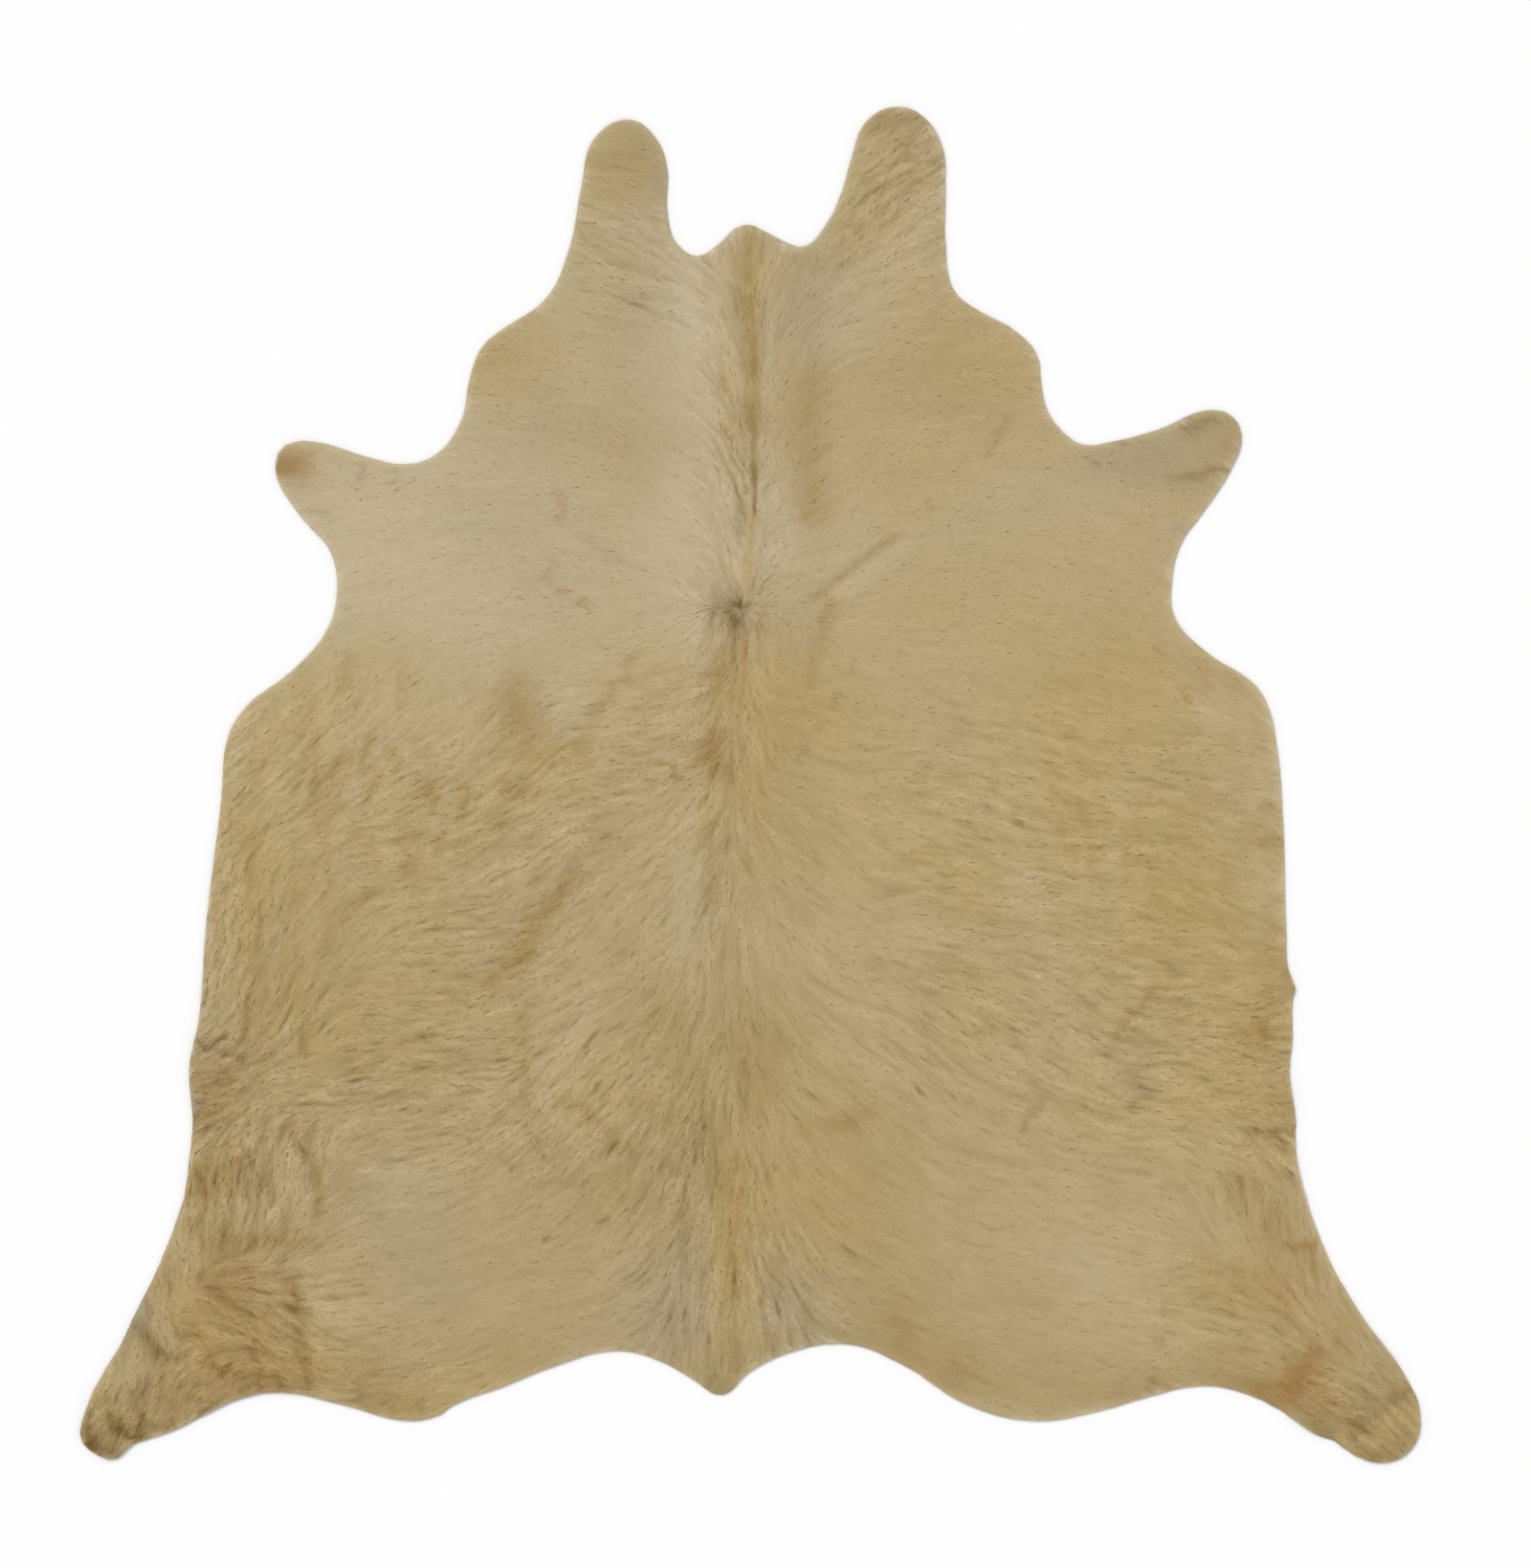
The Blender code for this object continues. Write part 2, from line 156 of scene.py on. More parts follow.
# Where the coat leaves its cream ground over a wide area: for each tone, the places, reaches and
# turns in degrees of its patches.
TONE_PATCHES = {
    "pale": patches(
        (-590, 390, 250, 150, 10, 0.8), (-100, 420, 55, 200, 0, 0.75),
        (-100, 720, 45, 120, 0, 0.85), (-480, 250, 160, 100, 0, 0.5),
        (-300, 480, 150, 200, 0, 0.15), (320, 330, 250, 140, 0, 0.3), (50, 420, 30, 100, 0, 0.65),
        (580, 480, 100, 45, 10, 0.35), (520, -780, 130, 90, 0, 0.4), (-580, -650, 110, 40, 0, 0.15),
        (-285, -400, 30, 70, -12, 0.35), (-90, -210, 26, 90, 0, 0.55),
        (-110, -800, 50, 70, -15, 0.15), (-200, 700, 120, 140, 0, 0.1), (-65, 240, 14, 30, 0, 0.6),
        (-660, -830, 40, 35, 0, 0.45), (780, -160, 30, 35, 0, 0.35), (435, -170, 35, 30, -40, 0.45),
        (230, -400, 22, 50, 0, 0.2), (-620, -120, 22, 22, 0, 0.3), (-950, -920, 30, 26, 0, 0.6),
        (720, 110, 45, 20, -20, 0.45), (-200, 880, 45, 20, 0, 0.45), (-720, 90, 80, 60, 0, 0.25),
        (360, 740, 80, 60, -30, 0.3), (-100, 800, 30, 50, 0, 0.4), (-680, 0, 120, 80, 0, 0.3),
        (260, -220, 60, 50, 0, 0.3), (-420, 30, 60, 30, 0, 0.3), (570, -130, 30, 30, 0, 0.4),
        (-500, -210, 40, 40, 0, 0.3), (150, 730, 40, 50, 0, 0.35), (170, 340, 40, 40, 0, 0.3),
        (-290, 120, 22, 35, 0, 0.4), (-550, -620, 40, 30, 0, 0.3), (200, 780, 50, 60, 0, 0.25),
        (-210, 270, 60, 60, 0, 0.2), (780, 10, 30, 40, 0, 0.25), (570, -160, 30, 30, 0, 0.25),
        (270, -170, 40, 30, 0, 0.25), (-200, 500, 60, 90, 0, 0.05), (-850, -840, 30, 30, 0, 0.3),
        (-65, 250, 16, 40, 0, 0.6), (0, 860, 40, 15, 0, 0.5), (-275, 850, 15, 50, 0, 0.35),
        (-290, 750, 30, 30, 0, 0.3), (0, 750, 30, 40, 0, 0.45), (290, 850, 20, 50, 0, 0.4),
        (360, 380, 50, 50, 0, 0.35), (-810, 50, 30, 50, 0, 0.55), (-620, 170, 50, 30, 0, 0.25),
        (-250, 120, 40, 40, 0, 0.3), (-300, -100, 80, 60, 0, 0.18), (-850, -430, 15, 40, 0, 0.35),
        (10, 500, 15, 40, 0, 0.5),
    ),
    "ochre": patches(
        (-65, 45, 22, 50, 0, 0.75), (-35, 170, 22, 55, 8, 0.9), (-362, 108, 24, 46, 10, 0.78),
        (-325, 48, 45, 20, 0, 0.4), (-410, -90, 35, 22, 0, 0.32), (-230, -85, 24, 30, 25, 0.3),
        (-780, -240, 35, 120, 0, 0.28), (-715, -290, 22, 60, -8, 0.35),
        (-600, -330, 90, 30, 0, 0.3), (-820, -620, 50, 30, 0, 0.65), (500, 190, 140, 90, 0, 0.14),
        (640, 170, 70, 50, -20, 0.1), (350, -200, 65, 24, -10, 0.3), (320, -295, 50, 16, -5, 0.32),
        (220, -870, 50, 50, 0, 0.45), (160, -660, 60, 110, 0, 0.3), (320, -910, 35, 30, 0, 0.6),
        (-130, -370, 45, 60, -20, 0.35), (20, -420, 50, 70, 0, 0.5),
        (-200, -640, 90, 40, -10, 0.35), (-195, 975, 55, 45, 0, 0.35), (400, 640, 60, 50, 0, 0.1),
        (-380, 670, 60, 40, 30, 0.15), (760, -785, 50, 26, -10, 0.45), (770, -630, 34, 26, 0, 0.45),
        (-540, -965, 60, 25, -12, 0.65), (460, -940, 120, 45, 0, 0.3), (-760, -710, 60, 14, 0, 0.8),
        (800, -440, 40, 50, 0, 0.55), (-700, -180, 70, 90, 0, 0.15), (-450, -300, 80, 50, 0, 0.12),
        (-48, 284, 18, 22, 0, 0.55), (-28, -10, 16, 22, 0, 0.6), (-90, -540, 60, 40, 0, 0.35),
        (-600, -420, 100, 30, 0, 0.35), (985, -1030, 50, 30, 20, 0.7),
        (-1000, -1000, 60, 50, 20, 0.6), (960, -930, 40, 40, -40, 0.35), (50, -800, 60, 70, 0, 0.3),
        (-60, -720, 60, 120, 0, 0.25), (80, -600, 450, 240, 0, 0.14), (-190, 510, 50, 50, 0, 0.12),
        (-290, 560, 60, 40, 0, 0.16), (330, 760, 50, 35, -30, 0.22), (80, 140, 40, 40, 0, 0.25),
        (-820, -510, 50, 70, 0, 0.45), (-930, -810, 50, 50, 40, 0.2), (-920, -930, 60, 40, 40, 0.3),
        (-640, -630, 40, 30, 0, 0.3), (810, -290, 30, 50, 0, 0.45), (720, -140, 40, 20, 0, 0.35),
        (820, -560, 30, 40, 0, 0.45), (800, -940, 80, 25, 0, 0.5), (920, -860, 50, 40, -50, 0.45),
        (1020, -970, 20, 30, 0, 0.7), (620, -940, 50, 20, 0, 0.4), (-100, -920, 60, 20, 0, 0.45),
        (-60, -240, 30, 60, 0, 0.25), (-100, -440, 40, 50, 0, 0.28), (-380, -900, 70, 30, 0, 0.3),
        (10, 550, 30, 50, 0, 0.25), (80, 500, 20, 60, 0, 0.22), (300, 860, 12, 60, 0, 0.25),
        (50, 120, 45, 130, 0, 0.3), (50, -40, 50, 80, 0, 0.26), (10, -640, 50, 50, 0, 0.28),
        (-30, -870, 50, 30, 0, 0.35), (-790, -755, 30, 25, 0, 0.5), (-870, -650, 20, 40, 0, 0.5),
        (-600, -930, 70, 30, -10, 0.4), (430, -810, 60, 50, 0, 0.28), (760, -900, 50, 30, 0, 0.35),
        (900, -990, 40, 25, 0, 0.5), (700, -220, 50, 40, 0, 0.28), (810, -350, 30, 40, 0, 0.3),
        (640, 500, 90, 50, 0, 0.28), (300, 650, 80, 60, 0, 0.22), (-700, -930, 70, 30, 10, 0.4),
        (-940, -800, 30, 50, 20, 0.6), (-170, 540, 50, 50, 0, 0.2), (-30, -660, 40, 40, 0, 0.22),
        (850, -500, 20, 50, 0, 0.45), (760, -800, 40, 50, 0, 0.18), (250, -780, 50, 50, 0, 0.16),
        (-900, -970, 40, 30, 0, 0.28), (-960, -900, 30, 30, 0, 0.35),
    ),
    "tan": patches(
        (-820, -785, 40, 36, 15, 0.55), (-800, -850, 50, 40, 0, 0.2), (-780, -920, 60, 35, 0, 0.55),
        (685, -215, 45, 32, -20, 0.25), (825, -690, 22, 30, 0, 0.4), (825, -795, 30, 30, -35, 0.3),
        (870, -930, 35, 35, -20, 0.45), (-720, 500, 22, 18, 0, 0.75), (150, -530, 40, 14, 15, 0.2),
        (240, -870, 20, 35, 10, 0.25), (-640, 40, 30, 35, 0, 0.12), (800, -960, 60, 20, 0, 0.5),
        (-900, -960, 40, 30, 20, 0.35), (-850, -470, 30, 60, 0, 0.3), (-725, -800, 25, 50, 0, 0.15),
        (850, -750, 30, 40, 0, 0.22), (-840, -830, 40, 55, 0, 0.38), (-760, -920, 30, 30, 0, 0.3),
    ),
    # Umber is partly dark hair and partly painted shade, in the whorl's hollow and in folds
    "umber_and_crease_shade": patches(
        (-21, 263, 8, 7, 0, 0.6), (-18, 252, 16, 14, 0, 0.25), (735, 555, 30, 24, 0, 0.2),
        (-80, -580, 32, 34, 0, 0.2), (-1025, -1035, 22, 12, -20, 0.9), (-40, -945, 26, 14, 0, 0.35),
        (985, -1045, 40, 14, 0, 0.2), (220, 1040, 50, 22, 0, 0.18), (-110, -850, 40, 26, 0, 0.16),
        (-970, -850, 20, 30, -30, 0.3), (1000, -970, 25, 16, -30, 0.3),
        (900, -1000, 30, 14, 0, 0.25),
    ),
    "grey": patches(
        (-165, 745, 45, 90, 0, 0.2), (-400, 420, 70, 50, 0, 0.2), (-330, 310, 40, 30, 0, 0.15),
        (-52, 288, 22, 24, 0, 0.3), (620, 520, 80, 20, 15, 0.35), (90, 760, 40, 70, 0, 0.35),
        (-60, -120, 16, 80, 0, 0.2), (-85, -740, 40, 80, 0, 0.3), (45, -790, 34, 50, 0, 0.4),
        # The grey patch at -960, -835 is painted shade in the left shank's fold
        (-960, -835, 18, 26, -30, 0.6), (-145, 950, 10, 35, 0, 0.45), (600, -455, 20, 30, 0, 0.45),
        (-435, -410, 14, 22, 0, 0.45), (50, 100, 50, 140, 0, 0.2), (-130, -830, 70, 60, 0, 0.4),
        (80, -830, 70, 50, 0, 0.4), (350, 380, 80, 60, 0, 0.25), (-550, -660, 80, 50, 0, 0.2),
        (-500, -780, 80, 60, 0, 0.2), (650, 490, 70, 30, 0, 0.22), (270, -360, 40, 40, 0, 0.22),
        (1000, -950, 40, 40, 0, 0.22), (-340, 580, 40, 60, 0, 0.18),
    ),
    "gold": patches(
        (-720, 90, 70, 50, 0, 0.45), (-660, 160, 60, 40, 0, 0.35), (-600, -50, 150, 110, 0, 0.42),
        (-340, 10, 90, 50, 0, 0.42), (-150, 150, 70, 60, 0, 0.3), (100, 110, 90, 70, 0, 0.6),
        (270, 280, 60, 40, 0, 0.4), (550, 130, 140, 110, 0, 0.6), (660, -170, 110, 110, 0, 0.75),
        (320, -150, 100, 60, 0, 0.5), (360, 680, 70, 50, -30, 0.45), (-390, 660, 50, 40, 0, 0.45),
        (-700, -860, 50, 50, 0, 0.6), (740, -800, 90, 60, 0, 0.5), (760, -330, 70, 80, 0, 0.45),
        (-450, -390, 70, 60, 0, 0.35), (-650, -370, 80, 80, 0, 0.4), (1000, -1000, 50, 50, 0, 0.4),
        (360, 370, 90, 60, 0, 0.3), (-550, 200, 70, 50, 0, 0.25), (180, -50, 120, 70, 0, 0.35),
        (-20, -700, 30, 100, 0, 0.4), (-520, -240, 70, 60, 0, 0.35), (100, -640, 100, 120, 0, 0.3),
        (-775, -120, 45, 140, 0, 0.55), (10, 60, 22, 110, 0, 0.6), (420, 280, 50, 50, 0, 0.3),
        (500, -40, 45, 70, 0, 0.4), (700, -500, 120, 80, 0, 0.5), (320, -360, 70, 50, 0, 0.4),
        (-430, -950, 80, 30, 0, 0.5), (270, 500, 50, 50, 0, 0.3), (-850, -840, 50, 60, 0, 0.6),
        (15, 800, 20, 40, 0, 0.5), (-30, 600, 20, 50, 0, 0.4), (-240, -470, 50, 50, 0, 0.4),
        (-30, -800, 30, 60, 0, 0.4), (-60, -50, 20, 50, 0, 0.45),
    ),
}
TONES = tuple(TONE_PATCHES)
TONE_LAYERS = ("tones_light", "tones_deep")

# The patches' edges wander by this much, over waves of this length
PATCH_WANDER = 0.016
PATCH_WAVE = 0.060

Mark = namedtuple("Mark", "tone path half_width strength")


def strokes(*rows):
    """Marks, from rows of tone, half width in millimetres, strength and the path's places."""
    return [
        Mark(tone, [(across * MM, along * MM) for across, along in path], half_width * MM, strength)
        for tone, half_width, strength, *path in rows]


# Narrow bands, streaks and specks of tone, placed along short paths, by the part of the hide. The umber
# strokes, and some ochre and grey ones, lie along creases and folds as painted shade.
TONE_MARKS = {
    "crest of the neck": strokes(
        ("ochre", 26, 0.58, (-6, 850), (-6, 760)), ("ochre", 19, 0.75, (-4, 760), (2, 660)),
        ("ochre", 12, 0.8, (4, 660), (6, 560)), ("ochre", 8, 0.8, (6, 560), (5, 470)),
        ("ochre", 5, 0.55, (5, 470), (3, 400)), ("tan", 5, 0.45, (0, 840), (4, 760), (6, 640)),
        ("tan", 6, 0.3, (-26, 845), (-24, 800)), ("pale", 8, 0.55, (30, 835), (32, 720), (28, 600)),
        ("pale", 9, 0.75, (16, 540), (14, 440)), ("gold", 6, 0.8, (-2, 400), (-2, 300)),
        ("grey", 8, 0.7, (-20, 605), (-14, 575)), ("umber_and_crease_shade", 3, 0.35, (-18, 600), (-14, 576)),
        ("tan", 5, 0.55, (-46, 632), (-36, 612)), ("tan", 5, 0.75, (-44, 556), (-34, 540)),
        ("umber_and_crease_shade", 2.5, 0.35, (-32, 545), (-18, 520), (-10, 496)),
        ("umber_and_crease_shade", 2.5, 0.45, (-26, 508), (-12, 484), (-6, 460)),
        ("umber_and_crease_shade", 2.5, 0.5, (-26, 470), (-14, 440), (-8, 410)),
        ("umber_and_crease_shade", 2.5, 0.35, (-24, 424), (-14, 396)),
        ("umber_and_crease_shade", 3, 0.65, (2, 500), (8, 468), (6, 430)),
        ("umber_and_crease_shade", 2.5, 0.25, (16, 500), (26, 516)), ("umber_and_crease_shade", 2.5, 0.25, (14, 448), (26, 466)),
    ),
    "sides of the neck": strokes(
        ("ochre", 29, 0.55, (96, 640), (88, 570), (94, 500), (96, 430)),
        ("ochre", 16, 0.35, (80, 820), (135, 815), (180, 865)),
        ("tan", 8, 0.6, (168, 880), (170, 870)), ("gold", 8, 0.3, (160, 852), (153, 832)),
        ("ochre", 7, 0.45, (183, 920), (212, 942)), ("umber_and_crease_shade", 7, 0.3, (237, 920), (256, 946)),
        ("ochre", 9, 0.4, (200, 895), (212, 905)), ("ochre", 14, 0.55, (205, 1035), (225, 1042)),
        ("umber_and_crease_shade", 3, 0.3, (240, 986), (294, 970)), ("umber_and_crease_shade", 3, 0.22, (225, 1005), (270, 995)),
        ("ochre", 6, 0.55, (402, 576), (386, 545), (370, 515)),
        ("umber_and_crease_shade", 7, 0.25, (280, 438), (286, 424)), ("grey", 5, 0.7, (-127, 865), (-133, 935)),
        ("tan", 3, 0.5, (-265, 870), (-255, 850)),
    ),
    "withers": strokes(
        ("ochre", 7, 0.45, (228, 391), (156, 340), (98, 293)),
        ("ochre", 13, 0.6, (121, 285), (118, 240), (104, 200), (88, 160)),
        ("umber_and_crease_shade", 4, 0.35, (164, 195), (152, 170)), ("umber_and_crease_shade", 6, 0.55, (140, 142), (128, 122)),
        ("umber_and_crease_shade", 6, 0.6, (123, 100), (106, 84)), ("umber_and_crease_shade", 6, 0.6, (90, 60), (76, 42)),
        ("ochre", 10, 0.5, (88, 120), (62, 88), (50, 60)),
        ("tan", 7, 0.55, (52, 56), (28, 27), (18, 8)), ("tan", 12, 0.5, (22, 116), (45, 118)),
        ("gold", 22, 0.6, (12, 170), (60, 170)), ("tan", 8, 0.6, (-12, 240), (-8, 190), (-12, 125)),
        ("tan", 11, 0.8, (-58, 80), (-55, 50), (-56, 18)),
        ("umber_and_crease_shade", 3, 0.4, (-30, 85), (-28, 50), (-30, 10)),
        ("umber_and_crease_shade", 3, 0.4, (-11, 70), (-10, 40), (-14, 20)),
        ("umber_and_crease_shade", 4, 0.32, (-8, -15), (-13, -60)),
        ("ochre", 13, 0.5, (-58, -20), (-66, -80), (-60, -180)),
        ("ochre", 8, 0.55, (8, -50), (14, -92)), ("ochre", 10, 0.5, (-10, -115), (0, -130)),
        ("tan", 6, 0.85, (-145, 32), (-128, 26), (-113, 8)),
        ("umber_and_crease_shade", 2.5, 0.3, (-210, 20), (-185, 26), (-150, 2)),
        ("tan", 5, 0.3, (-100, 182), (-108, 155)),
        ("grey", 8, 0.45, (-268, 390), (-232, 366), (-198, 350)),
        ("umber_and_crease_shade", 6, 0.8, (-23, 266), (-19, 260)), ("umber_and_crease_shade", 3, 0.55, (-24, 272), (-32, 282)),
        ("umber_and_crease_shade", 2.5, 0.45, (-20, 272), (-20, 290)), ("umber_and_crease_shade", 2.5, 0.35, (-14, 268), (-6, 280)),
        ("umber_and_crease_shade", 3, 0.5, (-24, 256), (-34, 244)), ("umber_and_crease_shade", 3, 0.55, (-19, 254), (-20, 232)),
        ("umber_and_crease_shade", 3, 0.5, (-12, 254), (-8, 238)), ("umber_and_crease_shade", 2.5, 0.4, (-28, 264), (-42, 268)),
        ("tan", 4, 0.6, (0, 258), (10, 248), (14, 234)), ("umber_and_crease_shade", 2.5, 0.35, (14, 254), (28, 244)),
        ("umber_and_crease_shade", 2.5, 0.25, (14, 266), (24, 274)),
        ("pale", 2.5, 0.6, (-2, 322), (0, 272), (0, 152)),
    ),
    "left shoulder": strokes(
        ("umber_and_crease_shade", 8, 0.35, (-735, 512), (-738, 492)), ("grey", 8, 0.75, (-613, 496), (-613, 479)),
        ("ochre", 4, 0.8, (-556, 492), (-560, 474)), ("umber_and_crease_shade", 2, 0.25, (-556, 464), (-530, 475)),
        ("umber_and_crease_shade", 5, 0.24, (-692, 427), (-662, 425)), ("tan", 7, 0.45, (-300, 455), (-294, 418)),
        ("ochre", 7, 0.5, (-311, 350), (-322, 320)), ("tan", 4, 0.75, (-300, 304), (-290, 303)),
        ("tan", 4, 0.65, (-258, 292), (-257, 270)),
        ("ochre", 7, 0.45, (-182, 202), (-208, 162), (-242, 118)),
        ("ochre", 7, 0.8, (-190, 168), (-186, 160)), ("tan", 7, 0.6, (-318, 30), (-292, 34)),
        ("ochre", 11, 0.6, (-265, 62), (-258, 30)), ("ochre", 13, 0.65, (-395, 2), (-345, -10)),
        ("ochre", 13, 0.7, (-405, -48), (-380, -64)),
        ("ochre", 13, 0.35, (-222, 138), (-246, 100), (-276, 62)),
    ),
    "left flank": strokes(
        ("tan", 6, 0.55, (-592, 85), (-602, 50), (-612, 22)),
        ("tan", 11, 0.5, (-636, 50), (-652, 22)), ("tan", 5, 0.7, (-596, -2), (-602, -30)),
        ("tan", 9, 0.85, (-502, -8), (-498, -32)), ("tan", 10, 0.95, (-446, -8), (-450, -38)),
        ("tan", 9, 0.6, (-684, 70), (-682, -20)), ("ochre", 9, 0.85, (-560, 52), (-556, 26)),
        ("tan", 6, 0.4, (-655, -36), (-632, -36)), ("tan", 6, 0.65, (-742, 86), (-712, 82)),
        ("tan", 4, 0.75, (-800, 36), (-762, 36), (-730, 32)),
        ("ochre", 9, 0.5, (-632, 200), (-634, 150)), ("ochre", 7, 0.4, (-660, 105), (-680, 65)),
        ("tan", 3, 0.45, (-752, 140), (-745, 110)),
        ("umber_and_crease_shade", 2.5, 0.3, (-506, -46), (-470, -54), (-442, -58)),
        ("umber_and_crease_shade", 2.5, 0.24, (-545, -128), (-500, -124)),
        ("ochre", 11, 0.6, (-575, -158), (-612, -185), (-640, -215)),
        ("ochre", 8, 0.75, (-545, -70), (-545, -120)),
        ("ochre", 8, 0.85, (-490, -80), (-488, -110)),
        ("umber_and_crease_shade", 6, 0.45, (-496, -224), (-460, -228)),
        ("umber_and_crease_shade", 6, 0.55, (-476, -322), (-462, -334), (-440, -346)),
        ("umber_and_crease_shade", 2.5, 0.3, (-385, -330), (-330, -345)),
        ("umber_and_crease_shade", 3, 0.38, (-612, -375), (-590, -383), (-565, -386)),
        ("umber_and_crease_shade", 3, 0.38, (-605, -450), (-575, -445)),
        ("umber_and_crease_shade", 7, 0.25, (-436, -402), (-440, -430)),
        ("tan", 5, 0.45, (-655, -228), (-680, -300)), ("tan", 4, 0.6, (-648, -235), (-662, -265)),
        ("ochre", 11, 0.85, (-700, -330), (-700, -400)),
        ("tan", 6, 0.95, (-700, -395), (-694, -425)),
        ("pale", 7, 0.85, (-735, -220), (-745, -280), (-757, -340)),
        ("pale", 8, 0.5, (-718, -355), (-735, -420)),
        ("tan", 14, 0.4, (-780, -200), (-778, -300), (-788, -380)),
        ("umber_and_crease_shade", 3, 0.34, (-750, -240), (-768, -300), (-790, -345)),
        ("umber_and_crease_shade", 6, 0.45, (-788, -330), (-792, -400), (-794, -445)),
        ("pale", 5, 0.45, (-808, -330), (-812, -380)),
        ("umber_and_crease_shade", 3, 0.26, (-806, -205), (-804, -290)), ("tan", 3, 0.5, (-836, -205), (-838, -240)),
        ("umber_and_crease_shade", 4, 0.8, (-767, -205), (-768, -220)),
        ("umber_and_crease_shade", 4, 0.85, (-868, -400), (-846, -410), (-810, -424), (-795, -430)),
        ("grey", 8, 0.25, (-862, -360), (-872, -420)),
    ),
    "back": strokes(
        ("ochre", 21, 0.85, (-276, -146), (-330, -212), (-362, -268)),
        ("ochre", 15, 0.9, (-362, -268), (-405, -315)),
        ("ochre", 10, 0.65, (-356, -360), (-352, -440), (-356, -505)),
        ("umber_and_crease_shade", 7, 0.26, (-350, -540), (-332, -562), (-320, -586)),
        ("ochre", 9, 0.65, (-375, -600), (-362, -596)),
        ("ochre", 10, 0.75, (-295, -494), (-255, -514), (-230, -545), (-190, -570)),
        ("umber_and_crease_shade", 5, 0.28, (-165, -572), (-122, -600), (-100, -618)),
        ("umber_and_crease_shade", 5, 0.45, (-238, -468), (-226, -502)),
        ("umber_and_crease_shade", 3, 0.26, (-205, -474), (-180, -480)),
        ("ochre", 11, 0.45, (-200, -495), (-145, -502)),
        ("ochre", 10, 0.3, (-13, -330), (-12, -450)), ("umber_and_crease_shade", 4, 0.3, (-8, -430), (-6, -510)),
        ("ochre", 20, 0.35, (15, -450), (15, -520)), ("umber_and_crease_shade", 3, 0.55, (-70, -522), (-72, -536)),
        ("umber_and_crease_shade", 2.5, 0.26, (-140, -150), (-120, -147)),
        ("umber_and_crease_shade", 3, 0.55, (-242, -690), (-222, -682)),
        ("umber_and_crease_shade", 4, 0.7, (-320, -712), (-313, -706)), ("umber_and_crease_shade", 4, 0.5, (264, -475), (271, -485)),
        ("umber_and_crease_shade", 3, 0.35, (313, -482), (319, -492)), ("umber_and_crease_shade", 3, 0.24, (185, -490), (205, -482)),
        ("ochre", 12, 0.5, (75, -545), (130, -535), (190, -515)),
    ),
    "tail": strokes(
        ("tan", 11, 0.95, (-16, -640), (-22, -690), (-28, -740), (-24, -800)),
        ("tan", 8, 0.8, (-28, -700), (-28, -760)),
        ("ochre", 18, 0.7, (-28, -600), (-32, -680), (-34, -800)),
        ("ochre", 12, 0.65, (-32, -820), (-26, -910)), ("umber_and_crease_shade", 6, 0.26, (-14, -900), (-20, -930)),
        ("ochre", 16, 0.5, (15, -885), (60, -872)), ("umber_and_crease_shade", 4, 0.75, (0, -690), (5, -715)),
        ("umber_and_crease_shade", 3, 0.65, (9, -775), (10, -790)), ("umber_and_crease_shade", 8, 0.4, (42, -780), (46, -795)),
        ("umber_and_crease_shade", 3, 0.3, (-95, -760), (-95, -790)), ("umber_and_crease_shade", 3, 0.3, (120, -838), (130, -846)),
    ),
    "right shoulder": strokes(
        ("umber_and_crease_shade", 10, 0.5, (680, 558), (722, 568)), ("umber_and_crease_shade", 8, 0.24, (685, 545), (700, 548)),
        ("ochre", 7, 0.65, (652, 482), (700, 484), (742, 495)),
        ("umber_and_crease_shade", 4, 0.26, (668, 484), (740, 494)), ("umber_and_crease_shade", 5, 0.4, (537, 508), (544, 500)),
        ("umber_and_crease_shade", 3, 0.3, (580, 537), (590, 533)), ("grey", 8, 0.5, (672, 400), (680, 388)),
        ("tan", 7, 0.4, (715, 180), (712, 148)), ("ochre", 7, 0.85, (682, 150), (694, 125)),
        ("grey", 8, 0.45, (314, 130), (322, 100), (332, 80)),
        ("umber_and_crease_shade", 4, 0.22, (484, 104), (506, 82)), ("umber_and_crease_shade", 3, 0.5, (456, 40), (470, 31)),
        ("umber_and_crease_shade", 3, 0.24, (500, 44), (520, 30)), ("umber_and_crease_shade", 3, 0.45, (485, 166), (492, 160)),
        ("umber_and_crease_shade", 5, 0.45, (640, 210), (645, 206)), ("umber_and_crease_shade", 5, 0.25, (268, 26), (282, 28)),
    ),
    "right flank": strokes(
        ("tan", 7, 0.35, (474, 60), (478, -40), (486, -90)),
        ("tan", 8, 0.65, (518, -30), (530, -80), (540, -135)),
        ("tan", 10, 0.65, (590, -100), (628, -128), (642, -190)),
        ("tan", 10, 0.35, (590, -262), (612, -255)), ("tan", 5, 0.8, (662, -250), (690, -256)),
        ("umber_and_crease_shade", 5, 0.28, (700, -148), (730, -204)), ("tan", 5, 0.5, (738, -160), (757, -196)),
        ("tan", 5, 0.55, (705, -120), (714, -122)), ("ochre", 11, 0.55, (775, -94), (806, -90)),
        ("umber_and_crease_shade", 7, 0.22, (798, -90), (806, -98)), ("umber_and_crease_shade", 8, 0.3, (810, -34), (820, -36)),
        ("grey", 8, 0.4, (786, -224), (800, -240)), ("tan", 13, 0.98, (798, -370), (806, -402)),
        ("umber_and_crease_shade", 8, 0.24, (800, -380), (810, -400)), ("tan", 10, 0.9, (770, -385), (780, -395)),
        ("umber_and_crease_shade", 4, 0.5, (836, -290), (842, -306)), ("tan", 6, 0.6, (846, -314), (852, -324)),
        ("ochre", 9, 0.85, (642, -314), (606, -356), (572, -396)),
